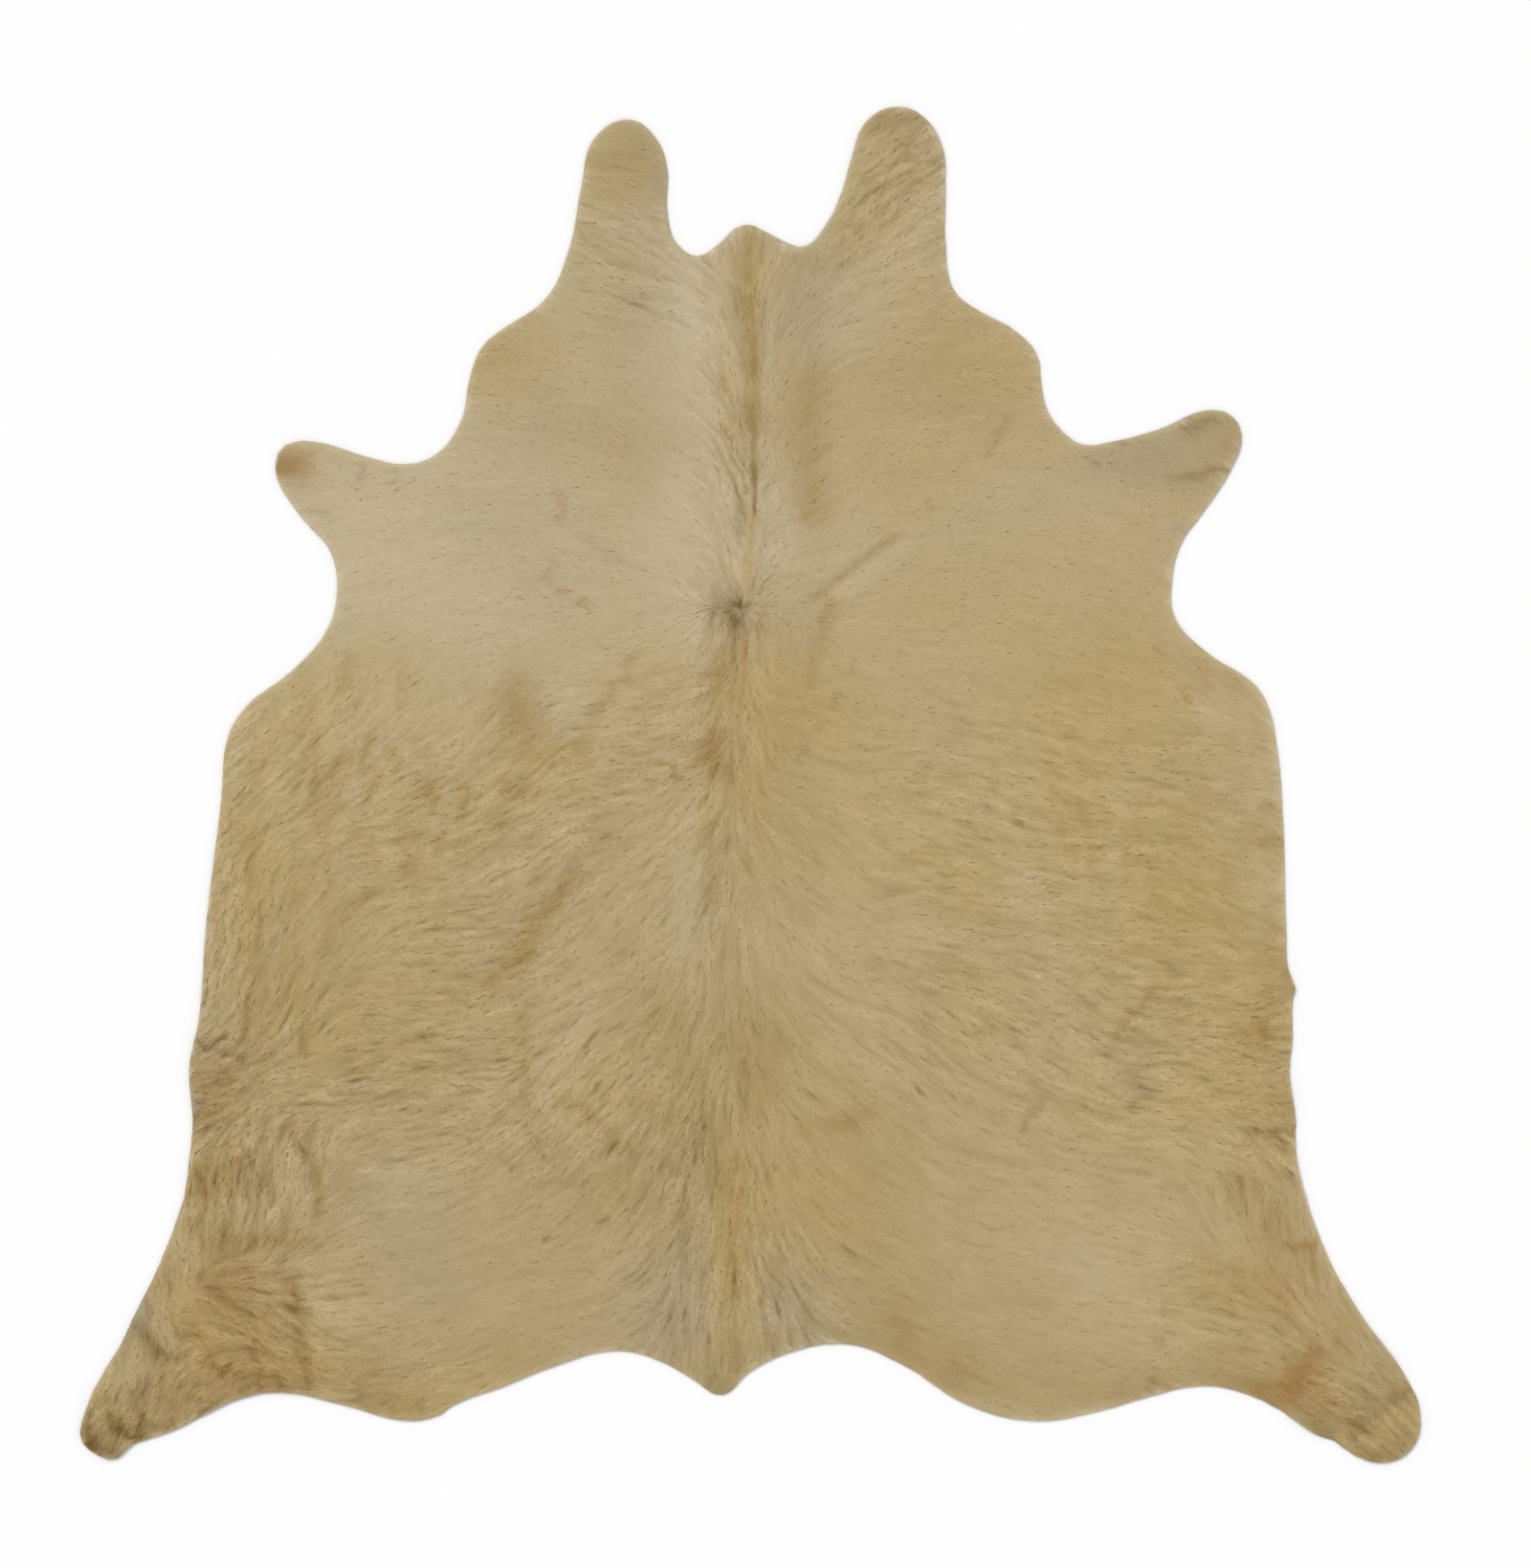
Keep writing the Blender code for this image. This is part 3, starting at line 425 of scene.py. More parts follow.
        ("umber_and_crease_shade", 4, 0.28, (625, -330), (600, -358), (576, -392)),
        ("umber_and_crease_shade", 3.5, 0.38, (505, -380), (540, -394), (560, -412), (592, -420)),
        ("umber_and_crease_shade", 3, 0.3, (560, -368), (592, -372)),
        ("umber_and_crease_shade", 2.5, 0.28, (642, -420), (690, -420), (742, -408)),
        ("umber_and_crease_shade", 7, 0.34, (590, -463), (602, -470), (612, -472)),
        ("umber_and_crease_shade", 3, 0.34, (600, -478), (618, -482)), ("umber_and_crease_shade", 4, 0.26, (452, -436), (486, -428)),
        ("ochre", 7, 0.6, (454, -486), (446, -520), (426, -540)),
        ("umber_and_crease_shade", 4, 0.22, (446, -514), (430, -536)), ("ochre", 10, 0.45, (495, -512), (515, -508)),
        ("ochre", 12, 0.35, (550, -502), (562, -508)),
        ("umber_and_crease_shade", 3, 0.95, (780, -541), (812, -546), (846, -545)),
        ("umber_and_crease_shade", 4, 0.98, (822, -548), (834, -560)), ("umber_and_crease_shade", 3, 0.45, (760, -566), (770, -572)),
        ("tan", 6, 0.4, (252, -110), (266, -124)), ("umber_and_crease_shade", 3, 0.3, (600, -608), (628, -613)),
    ),
    "right hind leg": strokes(
        ("tan", 5, 0.9, (838, -724), (885, -718)), ("tan", 8, 0.4, (878, -735), (884, -770)),
        ("umber_and_crease_shade", 6, 0.3, (730, -768), (752, -758), (772, -764)),
        ("tan", 12, 0.35, (812, -775), (840, -810), (848, -845)),
        ("umber_and_crease_shade", 4, 0.26, (655, -802), (646, -832)), ("umber_and_crease_shade", 4, 0.22, (640, -866), (640, -882)),
        ("tan", 15, 0.75, (884, -888), (862, -926), (850, -960)),
        ("tan", 6, 0.5, (900, -956), (944, -980)), ("tan", 5, 0.5, (786, -944), (840, -940)),
        ("umber_and_crease_shade", 5, 0.4, (890, -1022), (925, -1030)),
        ("umber_and_crease_shade", 7, 0.95, (1032, -950), (1002, -970), (976, -990), (950, -999)),
        ("umber_and_crease_shade", 8, 0.85, (970, -998), (944, -1020)),
        ("umber_and_crease_shade", 10, 0.35, (974, -1052), (990, -1050)),
        ("umber_and_crease_shade", 3, 0.3, (1012, -1026), (1022, -1036)),
        ("umber_and_crease_shade", 2.5, 0.6, (919, -872), (929, -881)), ("umber_and_crease_shade", 7, 0.3, (632, -930), (628, -948)),
    ),
    "left hind leg": strokes(
        ("umber_and_crease_shade", 3, 0.38, (-662, -484), (-580, -486), (-505, -490)),
        ("ochre", 5, 0.55, (-700, -500), (-640, -500), (-575, -494)),
        ("umber_and_crease_shade", 3, 0.32, (-502, -545), (-460, -550), (-425, -558)),
        ("ochre", 12, 0.7, (-732, -545), (-695, -572), (-674, -625), (-680, -680)),
        ("umber_and_crease_shade", 5, 0.55, (-705, -560), (-690, -578)),
        ("umber_and_crease_shade", 4, 0.42, (-678, -650), (-684, -682)),
        ("grey", 6, 0.8, (-866, -490), (-869, -535)),
        ("umber_and_crease_shade", 5, 0.85, (-864, -496), (-868, -525)), ("tan", 6, 0.8, (-866, -610), (-852, -622)),
        ("umber_and_crease_shade", 4, 0.32, (-836, -600), (-830, -655)),
        ("umber_and_crease_shade", 5, 0.7, (-788, -580), (-782, -592)),
        ("ochre", 6, 0.55, (-764, -600), (-750, -650)),
        ("ochre", 12, 0.5, (-830, -690), (-820, -720)),
        ("tan", 10, 0.8, (-876, -838), (-860, -870), (-842, -902)),
        ("umber_and_crease_shade", 4, 0.24, (-874, -845), (-866, -862)),
        ("tan", 11, 0.95, (-718, -780), (-706, -830), (-706, -890), (-696, -940)),
        ("umber_and_crease_shade", 6, 0.75, (-714, -800), (-708, -826)),
        ("umber_and_crease_shade", 5, 0.65, (-702, -840), (-700, -880)),
        ("umber_and_crease_shade", 4, 0.7, (-704, -900), (-696, -935)),
        ("tan", 6, 0.95, (-778, -840), (-775, -900), (-768, -950)),
        ("umber_and_crease_shade", 4, 0.75, (-776, -870), (-772, -945)),
        ("tan", 6, 0.95, (-850, -905), (-826, -918), (-798, -930)),
        ("umber_and_crease_shade", 4, 0.75, (-842, -910), (-810, -926)),
        ("umber_and_crease_shade", 6, 0.65, (-744, -920), (-736, -942)),
        ("umber_and_crease_shade", 3, 0.65, (-752, -822), (-736, -836), (-716, -845)),
        # The shank's fold: painted shade in its valley in umber, and a painted highlight on its lit
        # ridge in pale
        ("umber_and_crease_shade", 10, 0.7, (-960, -846), (-942, -868), (-922, -890)),
        ("umber_and_crease_shade", 6, 0.7, (-930, -886), (-912, -898), (-890, -898)),
        ("pale", 13, 0.8, (-948, -806), (-925, -840), (-905, -882)),
        ("umber_and_crease_shade", 5, 0.75, (-1002, -984), (-1000, -1008)),
        ("umber_and_crease_shade", 7, 0.85, (-990, -1002), (-972, -1020), (-950, -1020)),
        ("umber_and_crease_shade", 9, 0.4, (-998, -1040), (-990, -1050)),
        ("umber_and_crease_shade", 6, 0.55, (-830, -965), (-862, -984)),
        ("umber_and_crease_shade", 7, 0.3, (-622, -945), (-604, -965), (-596, -980)),
        ("umber_and_crease_shade", 4, 0.45, (-520, -966), (-514, -984)),
        ("umber_and_crease_shade", 4, 0.24, (-566, -960), (-562, -985)),
        ("umber_and_crease_shade", 2.5, 0.6, (-684, -858), (-650, -868), (-612, -875)),
        ("umber_and_crease_shade", 2.5, 0.28, (-584, -854), (-560, -864)),
        ("tan", 6, 0.6, (-880, -650), (-862, -640), (-850, -648)),
        ("tan", 7, 0.55, (-866, -600), (-856, -640)), ("tan", 6, 0.5, (-800, -590), (-790, -610)),
        ("ochre", 8, 0.6, (-872, -690), (-860, -720)),
        ("umber_and_crease_shade", 3, 0.5, (-830, -760), (-815, -768)),
        ("umber_and_crease_shade", 3, 0.5, (-846, -790), (-822, -786)),
        ("umber_and_crease_shade", 3, 0.45, (-812, -806), (-796, -826)),
        ("umber_and_crease_shade", 3, 0.45, (-780, -786), (-776, -806)),
        ("umber_and_crease_shade", 3, 0.45, (-846, -836), (-830, -848)),
        ("umber_and_crease_shade", 3, 0.6, (-756, -856), (-740, -866), (-722, -868)),
        ("umber_and_crease_shade", 3, 0.6, (-760, -892), (-742, -900), (-724, -898)),
        ("umber_and_crease_shade", 3, 0.5, (-800, -870), (-786, -884)),
        ("umber_and_crease_shade", 4, 0.5, (-800, -950), (-786, -940)),
        ("umber_and_crease_shade", 4, 0.55, (-872, -930), (-850, -940)),
        # The grey stroke at -972, -830 is painted shade in the shank's fold
        ("umber_and_crease_shade", 4, 0.5, (-880, -960), (-860, -966)), ("grey", 9, 0.8, (-972, -830), (-986, -858)),
        ("umber_and_crease_shade", 6, 0.6, (-900, -1000), (-920, -1010), (-948, -1002)),
        ("umber_and_crease_shade", 5, 0.65, (-952, -980), (-958, -1010)),
        ("umber_and_crease_shade", 6, 0.6, (-1036, -990), (-1040, -1020)),
        ("pale", 14, 0.5, (-962, -930), (-930, -952), (-922, -984)),
    ),
}

# A mark's edge wanders by this much, over waves of this length
MARK_WANDER = 0.0025
MARK_WAVE = 0.018

# The sheet's hair side lies this much under the roots, so that it doesn't show between locks
ROOT_DEPTH = 0.0005

# Where the hair is shaggy it stands in tufts of this size, with edges that wander over a wave
TUFT_SIZE = 0.017
TUFT_WANDER = 0.003
TUFT_WAVE = 0.009

# How much the fine streaks and the wider wisps change the painted shade, on calm hair and what full
# ruffle adds, and how much a tuft changes it from its start to its tips: the streaks carry random tone
# and painted light on their raised crests, painted shade in their troughs, and a tuft painted shade at
# its start, under the tips before it, and painted light on its tips
SILK_SHADE = (0.010, 0.110)
WISP_SHADE = (0.010, 0.075)
TUFT_SHADE = 0.085

# The cut edge's hair is paler, and lighter with a painted glow of light, over this width
RIM_PALE = 0.80
RIM_GLOW = 0.16
RIM_WIDTH = 0.004

# Where shade is painted darker the hair is browner too, as shaded hair is: the power of the painted
# shade on red, green and blue
SHADE_POWERS = (1.0, 1.07, 1.45)

# Where the hair stands ruffled: along the belly edges, on the shanks and at the tips
RUFFLES = patches(
    (-830, -300, 70, 260, 0, 0.9), (-800, -580, 110, 120, 0, 1), (-790, -850, 120, 110, 0, 1),
    (-980, -990, 90, 60, 30, 0.95), (-700, 20, 140, 100, 0, 0.5), (-450, -250, 170, 180, 0, 0.5),
    (-330, -40, 120, 80, 0, 0.45), (-560, -470, 200, 80, 0, 0.55), (-260, -540, 130, 80, 0, 0.55),
    (-90, -700, 90, 180, 0, 0.55), (50, -820, 70, 80, 0, 0.65), (350, -70, 140, 100, 0, 0.35),
    (620, -50, 160, 140, 0, 0.38), (640, -420, 160, 120, 0, 0.6), (810, -480, 60, 120, 0, 0.85),
    (780, -830, 140, 90, 0, 0.45), (950, -980, 90, 60, -40, 0.9), (230, 960, 80, 100, 0, 0.6),
    (-60, -100, 50, 300, 0, 0.35), (-15, 460, 40, 260, 0, 0.6), (-190, 820, 60, 60, 0, 0.45),
    (330, -360, 140, 80, 0, 0.4), (-160, 80, 80, 80, 0, 0.4), (-560, -930, 100, 60, 0, 0.5),
    (0, -400, 600, 450, 0, 0.22), (0, 850, 300, 170, 0, 0.25),
)

# Where soft ripples stand along the body, on the flanks
RIPPLES = patches(
    (-620, 20, 170, 110, 0, 1), (-760, -220, 70, 160, 0, 0.9), (-520, -140, 120, 90, 0, 0.5),
    (620, -80, 150, 140, 0, 0.6), (690, -260, 110, 90, 0, 0.5), (-800, -780, 100, 140, 0, 0.7),
    (-720, -560, 120, 60, 0, 0.5), (780, -720, 80, 100, 0, 0.4),
)
RIPPLE_WAVES = (0.022, 0.075)

Crease = namedtuple("Crease", "place start end half_width rise")

# Fine troughs and ridges that the coat lies over, in metres
CREASES = (
    Crease("neck parting", (0.000, 0.850), (-0.010, 0.300), 0.010, -0.0014),
    Crease("back ridge", (-0.015, 0.240), (-0.030, -0.900), 0.026, 0.0008),
    Crease("whorl", (-0.021, 0.267), (-0.019, 0.257), 0.012, -0.0016),
    Crease("right withers crease", (0.105, 0.290), (0.235, 0.385), 0.009, -0.0016),
    Crease("right withers ridge", (0.125, 0.270), (0.255, 0.365), 0.012, 0.0014),
    Crease("right withers, standing", (0.120, 0.265), (0.100, 0.150), 0.010, -0.0014),
    Crease("right withers, hook", (0.100, 0.150), (0.128, 0.110), 0.010, -0.0010),
    Crease("left withers crease", (-0.290, 0.450), (-0.200, 0.370), 0.010, -0.0010),
    Crease("left back slant", (-0.265, -0.130), (-0.400, -0.290), 0.016, -0.0016),
    Crease("left back hook", (-0.350, 0.110), (-0.300, 0.045), 0.016, -0.0012),
    Crease("level line", (-0.280, 0.030), (0.175, 0.025), 0.008, -0.0006),
    Crease("left belly, level", (-0.815, -0.480), (-0.485, -0.495), 0.010, -0.0014),
    Crease("left loin, standing", (-0.360, -0.375), (-0.325, -0.555), 0.012, -0.0012),
    Crease("right loin arch", (0.355, -0.405), (0.385, -0.495), 0.012, -0.0010),
    Crease("right belly edge", (0.775, -0.545), (0.850, -0.545), 0.008, -0.0020),
    Crease("right shank", (0.910, -1.025), (1.040, -0.945), 0.008, -0.0022),
    Crease("left shank, outer", (-0.780, -0.765), (-0.765, -0.970), 0.009, -0.0020),
    Crease("left shank, inner", (-0.705, -0.765), (-0.685, -0.940), 0.009, -0.0018),
)

# The neck-to-rump bands that the coat is made in
COAT_BANDS = ("neck", "shoulder", "back", "loin", "rump")


def length_property(name, description, default, low, high):
    """A length setting, from values in millimetres."""
    return FloatProperty(name=name, description=description, default=default * MM, min=low * MM,
                         max=high * MM, unit="LENGTH", precision=4)


class HideSizes(bpy.types.PropertyGroup):
    """Real sizes of the leather and of the lying coat."""

    leather: length_property("Leather", "Thickness of the tanned skin", 2.2, 0.5, 5)
    sheet_cell: length_property("Sheet cell", "Size of one cell of the leather sheet", 14, 4, 40)
    edge_inset: length_property("Edge inset", "How far the cut leather stays inside the hair's outline",
                                3.5, 0, 20)
    lock_spacing: length_property("Lock spacing", "Distance between the roots of two locks of hair",
                                  3.3, 2, 20)
    rim_spacing: length_property("Rim spacing", "Distance between two locks along the cut edge",
                                 1.6, 0.5, 20)
    rim_inset: length_property("Rim inset", "How far inside the cut edge the outermost locks root",
                               1.4, 0, 20)
    overhang: length_property("Overhang", "How far the tips may reach past the cut edge",
                              0.4, 0, 20)
    lock_length: length_property("Lock length", "Mean length of a lock", 16, 4, 80)
    lock_width: length_property("Lock width", "Mean width of a lock", 3.3, 0.3, 8)
    ground_hair: length_property("Ground hair", "Height of the dense short hair under the locks",
                                 1.4, 0, 10)
    nap: length_property("Nap", "Height of the lying locks above the ground hair", 1.5, 0.3, 15)
    clump: length_property("Clump", "Distance between two clumps of locks", 13, 4, 60)
    tousle: length_property("Tousle", "Height of the wisps where the hair stands ruffled",
                            0.8, 0, 10)
    feather: length_property("Feather", "How far tones run out along the hair's lay", 6.5, 0, 40)
    seed: IntProperty(name="Seed", description="Number that sets the chance in the coat",
                      default=7, min=0)


def colour_property(name, description, default):
    """A plain colour setting."""
    return FloatVectorProperty(name=name, description=description, subtype="COLOR", size=4,
                               min=0.0, max=1.0, default=(*default, 1.0))


class CoatColours(bpy.types.PropertyGroup):
    """Colours of the coat and the leather, as linear values."""

    cream: colour_property("Cream", "Ground colour of the coat", (0.408, 0.312, 0.160))
    pale: colour_property("Pale", "Pale hair of the shoulders", (0.482, 0.400, 0.256))
    ochre: colour_property("Ochre", "Olive gold of the stained hair", (0.298, 0.203, 0.066))
    tan: colour_property("Tan", "Reddish hair of the hind legs and tail", (0.262, 0.136, 0.030))
    # Umber: partly dark hair, partly painted shade in creases, folds and the whorl
    umber_and_crease_shade: colour_property("Umber_And_Crease_Shade", "Dark hair in creases and at the whorl", (0.120, 0.066, 0.006))
    # Grey: cool hair, and painted shade in a few folds
    grey: colour_property("Grey", "Cool hair of the neck and rump", (0.305, 0.256, 0.168))
    gold: colour_property("Gold", "Warm hair of the flanks and back", (0.415, 0.302, 0.118))
    # Skin: mixed into the ground hair, partly its own colour and partly painted shade between the locks
    skin: colour_property("Skin", "Skin between the hairs", (0.300, 0.215, 0.110))
    suede: colour_property("Suede", "Flesh side of the leather", (0.560, 0.470, 0.340))


class StageSettings(bpy.types.PropertyGroup):
    """The camera above the hide, the floor and the light."""

    view_width: FloatProperty(
        name="View width", description="Width of the picture at the floor", default=2.400,
        unit="LENGTH")
    view_across: FloatProperty(
        name="View across", description="Place of the picture's middle, across", default=0.024,
        unit="LENGTH")
    view_along: FloatProperty(
        name="View along", description="Place of the picture's middle, along", default=0.001,
        unit="LENGTH")
    lens: FloatProperty(name="Lens", description="Focal length in millimetres", default=85.0)
    floor: colour_property("Floor", "Colour of the floor", (0.860, 0.860, 0.860))
    sky: FloatProperty(name="Sky", description="Strength of the light from all round",
                       default=0.74)
    sun: FloatProperty(name="Sun", description="Strength of the soft key light", default=1.70)
    sun_height: FloatProperty(
        name="Sun height", description="Height of the key light above the floor",
        default=math.radians(50), subtype="ANGLE")
    sun_heading: FloatProperty(
        name="Sun heading", description="Where the key light comes from, from +X",
        default=math.radians(125), subtype="ANGLE")
    sun_size: FloatProperty(
        name="Sun size", description="Angular size of the key light",
        default=math.radians(35), subtype="ANGLE")


# Fields over the hide

def merged_node():
    """The CAD hide as a bmesh with its doubles merged."""
    mesh = bmesh.new()
    mesh.from_mesh(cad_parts[NODE].data)
    bmesh.ops.remove_doubles(mesh, verts=mesh.verts[:], dist=0.01 * MM)
    mesh.normal_update()
    return mesh


def rim_ring(mesh):
    """The points of the cut edge on the floor side, in order."""
    follow = {}
    for edge in mesh.edges:
        faces = edge.link_faces
        down = [face.normal.z < -0.7 for face in faces]
        side = [abs(face.normal.z) < 0.3 for face in faces]
        if len(faces) == 2 and any(down) and any(side):
            a, b = edge.verts
            follow.setdefault(a, []).append(b)
            follow.setdefault(b, []).append(a)
    ring = [next(iter(follow))]
    step = follow[ring[0]][0]
    while step is not ring[0]:
        before = ring[-1]
        ring.append(step)
        step = next(point for point in follow[step] if point is not before)
    return np.array([vertex.co[:2] for vertex in ring])


def inside(points, ring):
    """Which points lie inside the ring, by counting crossings."""
    x, y = points[:, :1], points[:, 1:]
    x1, y1 = ring.T
    x2, y2 = np.roll(ring, -1, axis=0).T
    spans = (y1 > y) != (y2 > y)
    rise = np.where(y2 == y1, 1.0, y2 - y1)
    crossing = x1 + (y - y1) * (x2 - x1) / rise
    return (spans & (x < crossing)).sum(axis=1) % 2 == 1


def dense_ring(ring, step):
    """Points at an even spacing around a ring."""
    closed = np.vstack([ring, ring[:1]])
    travel = np.concatenate([[0.0], np.cumsum(np.hypot(*np.diff(closed, axis=0).T))])
    at = np.arange(0.0, travel[-1], step)
    return np.column_stack([np.interp(at, travel, closed[:, axis]) for axis in (0, 1)])


def blurred(values, cells):
    """Values on a grid, softened over a number of cells."""
    reach = int(3 * cells) + 1
    kernel = np.exp(-0.5 * (np.arange(-reach, reach + 1) / cells) ** 2)
    kernel /= kernel.sum()
    for axis in (0, 1):
        padded = np.pad(values, [(reach, reach) if a == axis else (0, 0) for a in (0, 1)],
                        mode="edge")
        values = np.apply_along_axis(np.convolve, axis, padded, kernel, mode="valid")
    return values


def value_noise(points, wave, seed):
    """Soft noise between -1 and 1 over waves of a given length."""
    lattice = np.random.default_rng(seed).uniform(-1.0, 1.0, (NOISE_TILE, NOISE_TILE))
    at = points / wave
    cell = np.floor(at).astype(int)
    part = at - cell
    part = part * part * (3 - 2 * part)
    i, j = (cell % NOISE_TILE).T
    i1, j1 = (i + 1) % NOISE_TILE, (j + 1) % NOISE_TILE
    low = lattice[i, j] * (1 - part[:, 0]) + lattice[i1, j] * part[:, 0]
    high = lattice[i, j1] * (1 - part[:, 0]) + lattice[i1, j1] * part[:, 0]
    return low * (1 - part[:, 1]) + high * part[:, 1]


def layered_noise(points, wave, seed, layers=3):
    """Value noise summed over halving waves."""
    total, weight = 0.0, 0.0
    for layer in range(layers):
        share = 0.55 ** layer
        total = total + share * value_noise(points, wave * 0.5 ** layer, seed + layer)
        weight += share
    return total / weight


def wandered(points, distance, wave, seed):
    """Points moved by a soft noise, so that what is placed there loses its even edge."""
    shift = np.column_stack([
        layered_noise(points, wave, seed), layered_noise(points, wave, seed + 10)])
    return points + distance * shift


def patch_mask(places, patches):
    """How strongly soft oval patches cover each place, from 0 to 1."""
    left = np.ones(len(places))
    for patch in patches:
        turn = math.radians(patch.turn)
        x, y = (places - (patch.across, patch.along)).T
        u = (x * math.cos(turn) + y * math.sin(turn)) / patch.reach_across
        v = (y * math.cos(turn) - x * math.sin(turn)) / patch.reach_along
        left *= 1 - patch.strength * np.exp(-0.5 * (u * u + v * v))
    return 1 - left


def turned(way, angle):
    """Unit vectors turned anticlockwise by an angle each."""
    cosine, sine = np.cos(angle), np.sin(angle)
    return np.column_stack([
        way[:, 0] * cosine - way[:, 1] * sine, way[:, 0] * sine + way[:, 1] * cosine])


class HideFields:
    """Height of the flesh side, distance inside the cut edge and hair lay, on one grid."""

    def __init__(self):
        mesh = merged_node()
        self.ring = rim_ring(mesh)
        tree = BVHTree.FromBMesh(mesh)
        mesh.free()
        low, high = (np.array(corner[:2]) for corner in CAD_BOX)
        self.low = low - FIELD_MARGIN
        self.span = high + FIELD_MARGIN - self.low
        nodes, shape = self.nodes(FIELD_CELL)
        self.floor_gap = blurred(self.read_gap(tree, nodes).reshape(shape), 1.3)
        self.edge = self.read_edge(nodes).reshape(shape)
        self.way = [part.reshape(shape) for part in self.read_lay(nodes)]
        self.comb()

    def nodes(self, cell):
        """The nodes of a grid over the hide, and its shape."""
        shape = np.ceil(self.span / cell).astype(int) + 1
        x, y = (np.linspace(0.0, span, count) for span, count in zip(self.span, shape))
        return np.stack(np.meshgrid(x, y, indexing="ij"), axis=-1).reshape(-1, 2) + self.low, shape

    def comb(self):
        """Turn the lay where the hair stands ruffled, and draw streaks along it."""
        nodes, shape = self.nodes(COAT_CELL)
        ruffle = patch_mask(wandered(nodes, 0.020, 0.080, 61), RUFFLES)
        turn = (4 + 20 * ruffle) * layered_noise(nodes, 0.045, 41)
        turn += (3 + 14 * ruffle) * layered_noise(nodes, 0.014, 44)
        way = turned(self.lay(nodes), np.radians(turn))
        self.way = [part.reshape(shape) for part in way.T]
        self.ruffle = ruffle.reshape(shape)
        self.silk = self.streaks(nodes, 3.0 * MM, 14 * MM, 81).reshape(shape)
        self.wisp = self.streaks(nodes, 8.0 * MM, 28 * MM, 83).reshape(shape)
        self.tuft = self.tufts(nodes).reshape(shape)

    def tufts(self, nodes):
        """From -1 at the start of each shaggy tuft to 1 at its tips."""
        places = wandered(nodes, TUFT_WANDER, TUFT_WAVE, 65)
        centre, _ = clump_of(places, self, TUFT_SIZE, np.random.default_rng(7))
        along = ((places - centre) * self.lay(nodes)).sum(axis=1)
        shaggy = np.clip(2.0 * patch_mask(nodes, RUFFLES) - 1.0, 0.0, 1.0)
        return shaggy * np.clip(along / (0.6 * TUFT_SIZE), -1.0, 1.0)

    def streaks(self, points, wave, reach, seed, steps=4):
        """Noise drawn out into streaks along the hair's lay, with a spread of 1."""
        total = value_noise(points, wave, seed)
        for side in (1, -1):
            places = points
            for _ in range(steps):
                places = places + side * (reach / steps) * self.lay(places)
                total = total + value_noise(places, wave, seed)
        return total / total.std()

    @staticmethod
    def read_gap(tree, nodes):
        """The height of the flesh side above the floor."""
        gaps = []
        for x, y in nodes:
            place = tree.ray_cast(Vector((x, y, -1.0)), Vector((0.0, 0.0, 1.0)))[0]
            gaps.append(place.z if place else 0.0)
        return np.array(gaps)

    def inward(self, points):
        """The way from the cut edge into the hide, as unit vectors."""
        nudge = 3 * MM
        slope = np.column_stack([
            self.sample(self.edge, points + step) - self.sample(self.edge, points - step)
            for step in ((nudge, 0.0), (0.0, nudge))])
        return slope / np.maximum(np.hypot(*slope.T), 1e-9)[:, None]

    def read_edge(self, nodes):
        """The distance inside the cut edge, negative outside."""
        rim = dense_ring(self.ring, 1.5 * MM)
        tree = KDTree(len(rim))
        for index, (x, y) in enumerate(rim):
            tree.insert((x, y, 0.0), index)
        tree.balance()
        distance = np.array([tree.find((x, y, 0.0))[2] for x, y in nodes])
        return np.where(inside(nodes, self.ring), distance, -distance)

    @staticmethod
    def read_lay(nodes):
        """The heading of the hair tips, as a unit vector."""
        marks = np.array([(mark.across, mark.along) for mark in HAIR_LAY])
        headings = np.radians([mark.heading for mark in HAIR_LAY])
        gap = np.square(nodes[:, None, :] - marks).sum(axis=2) + LAY_SOFTNESS ** 2
        pull = gap ** (-LAY_POWER / 2)
        across, along = pull @ np.cos(headings), pull @ np.sin(headings)
        length = np.hypot(across, along)
        return across / length, along / length

    def sample(self, grid, points):
        """A grid's value at each point, between its nodes."""
        last = np.array(grid.shape) - 1
        at = (points - self.low) / self.span * last
        cell = np.clip(np.floor(at).astype(int), 0, last - 1)
        part = np.clip(at - cell, 0.0, 1.0)
        i, j = cell.T
        low = grid[i, j] * (1 - part[:, 0]) + grid[i + 1, j] * part[:, 0]
        high = grid[i, j + 1] * (1 - part[:, 0]) + grid[i + 1, j + 1] * part[:, 0]
        return low * (1 - part[:, 1]) + high * part[:, 1]

    def lay(self, points):
        """The way that the hair tips point, as unit vectors."""
        way = np.column_stack([self.sample(part, points) for part in self.way])
        return way / np.maximum(np.hypot(*way.T), 1e-6)[:, None]


_fields = {}


def hide_fields():
    """The fields over the hide, read once from the frame."""
    if "hide" not in _fields:
        _fields["hide"] = HideFields()
    return _fields["hide"]


def crease_height(points):
    """What the creases add to the leather's hair side."""
    total = np.zeros(len(points))
    for crease in CREASES:
        start, end = np.array(crease.start), np.array(crease.end)
        run = end - start
        along = np.clip((points - start) @ run / (run @ run), 0.0, 1.0)
        distance = np.hypot(*(points - start - along[:, None] * run).T)
        total += crease.rise * np.exp(-((distance / crease.half_width) ** 2))
    return total


def soft_step(low, high, values):
    """0 below low, 1 above high and smooth between."""
    part = np.clip((values - low) / (high - low), 0.0, 1.0)
    return part * part * (3 - 2 * part)


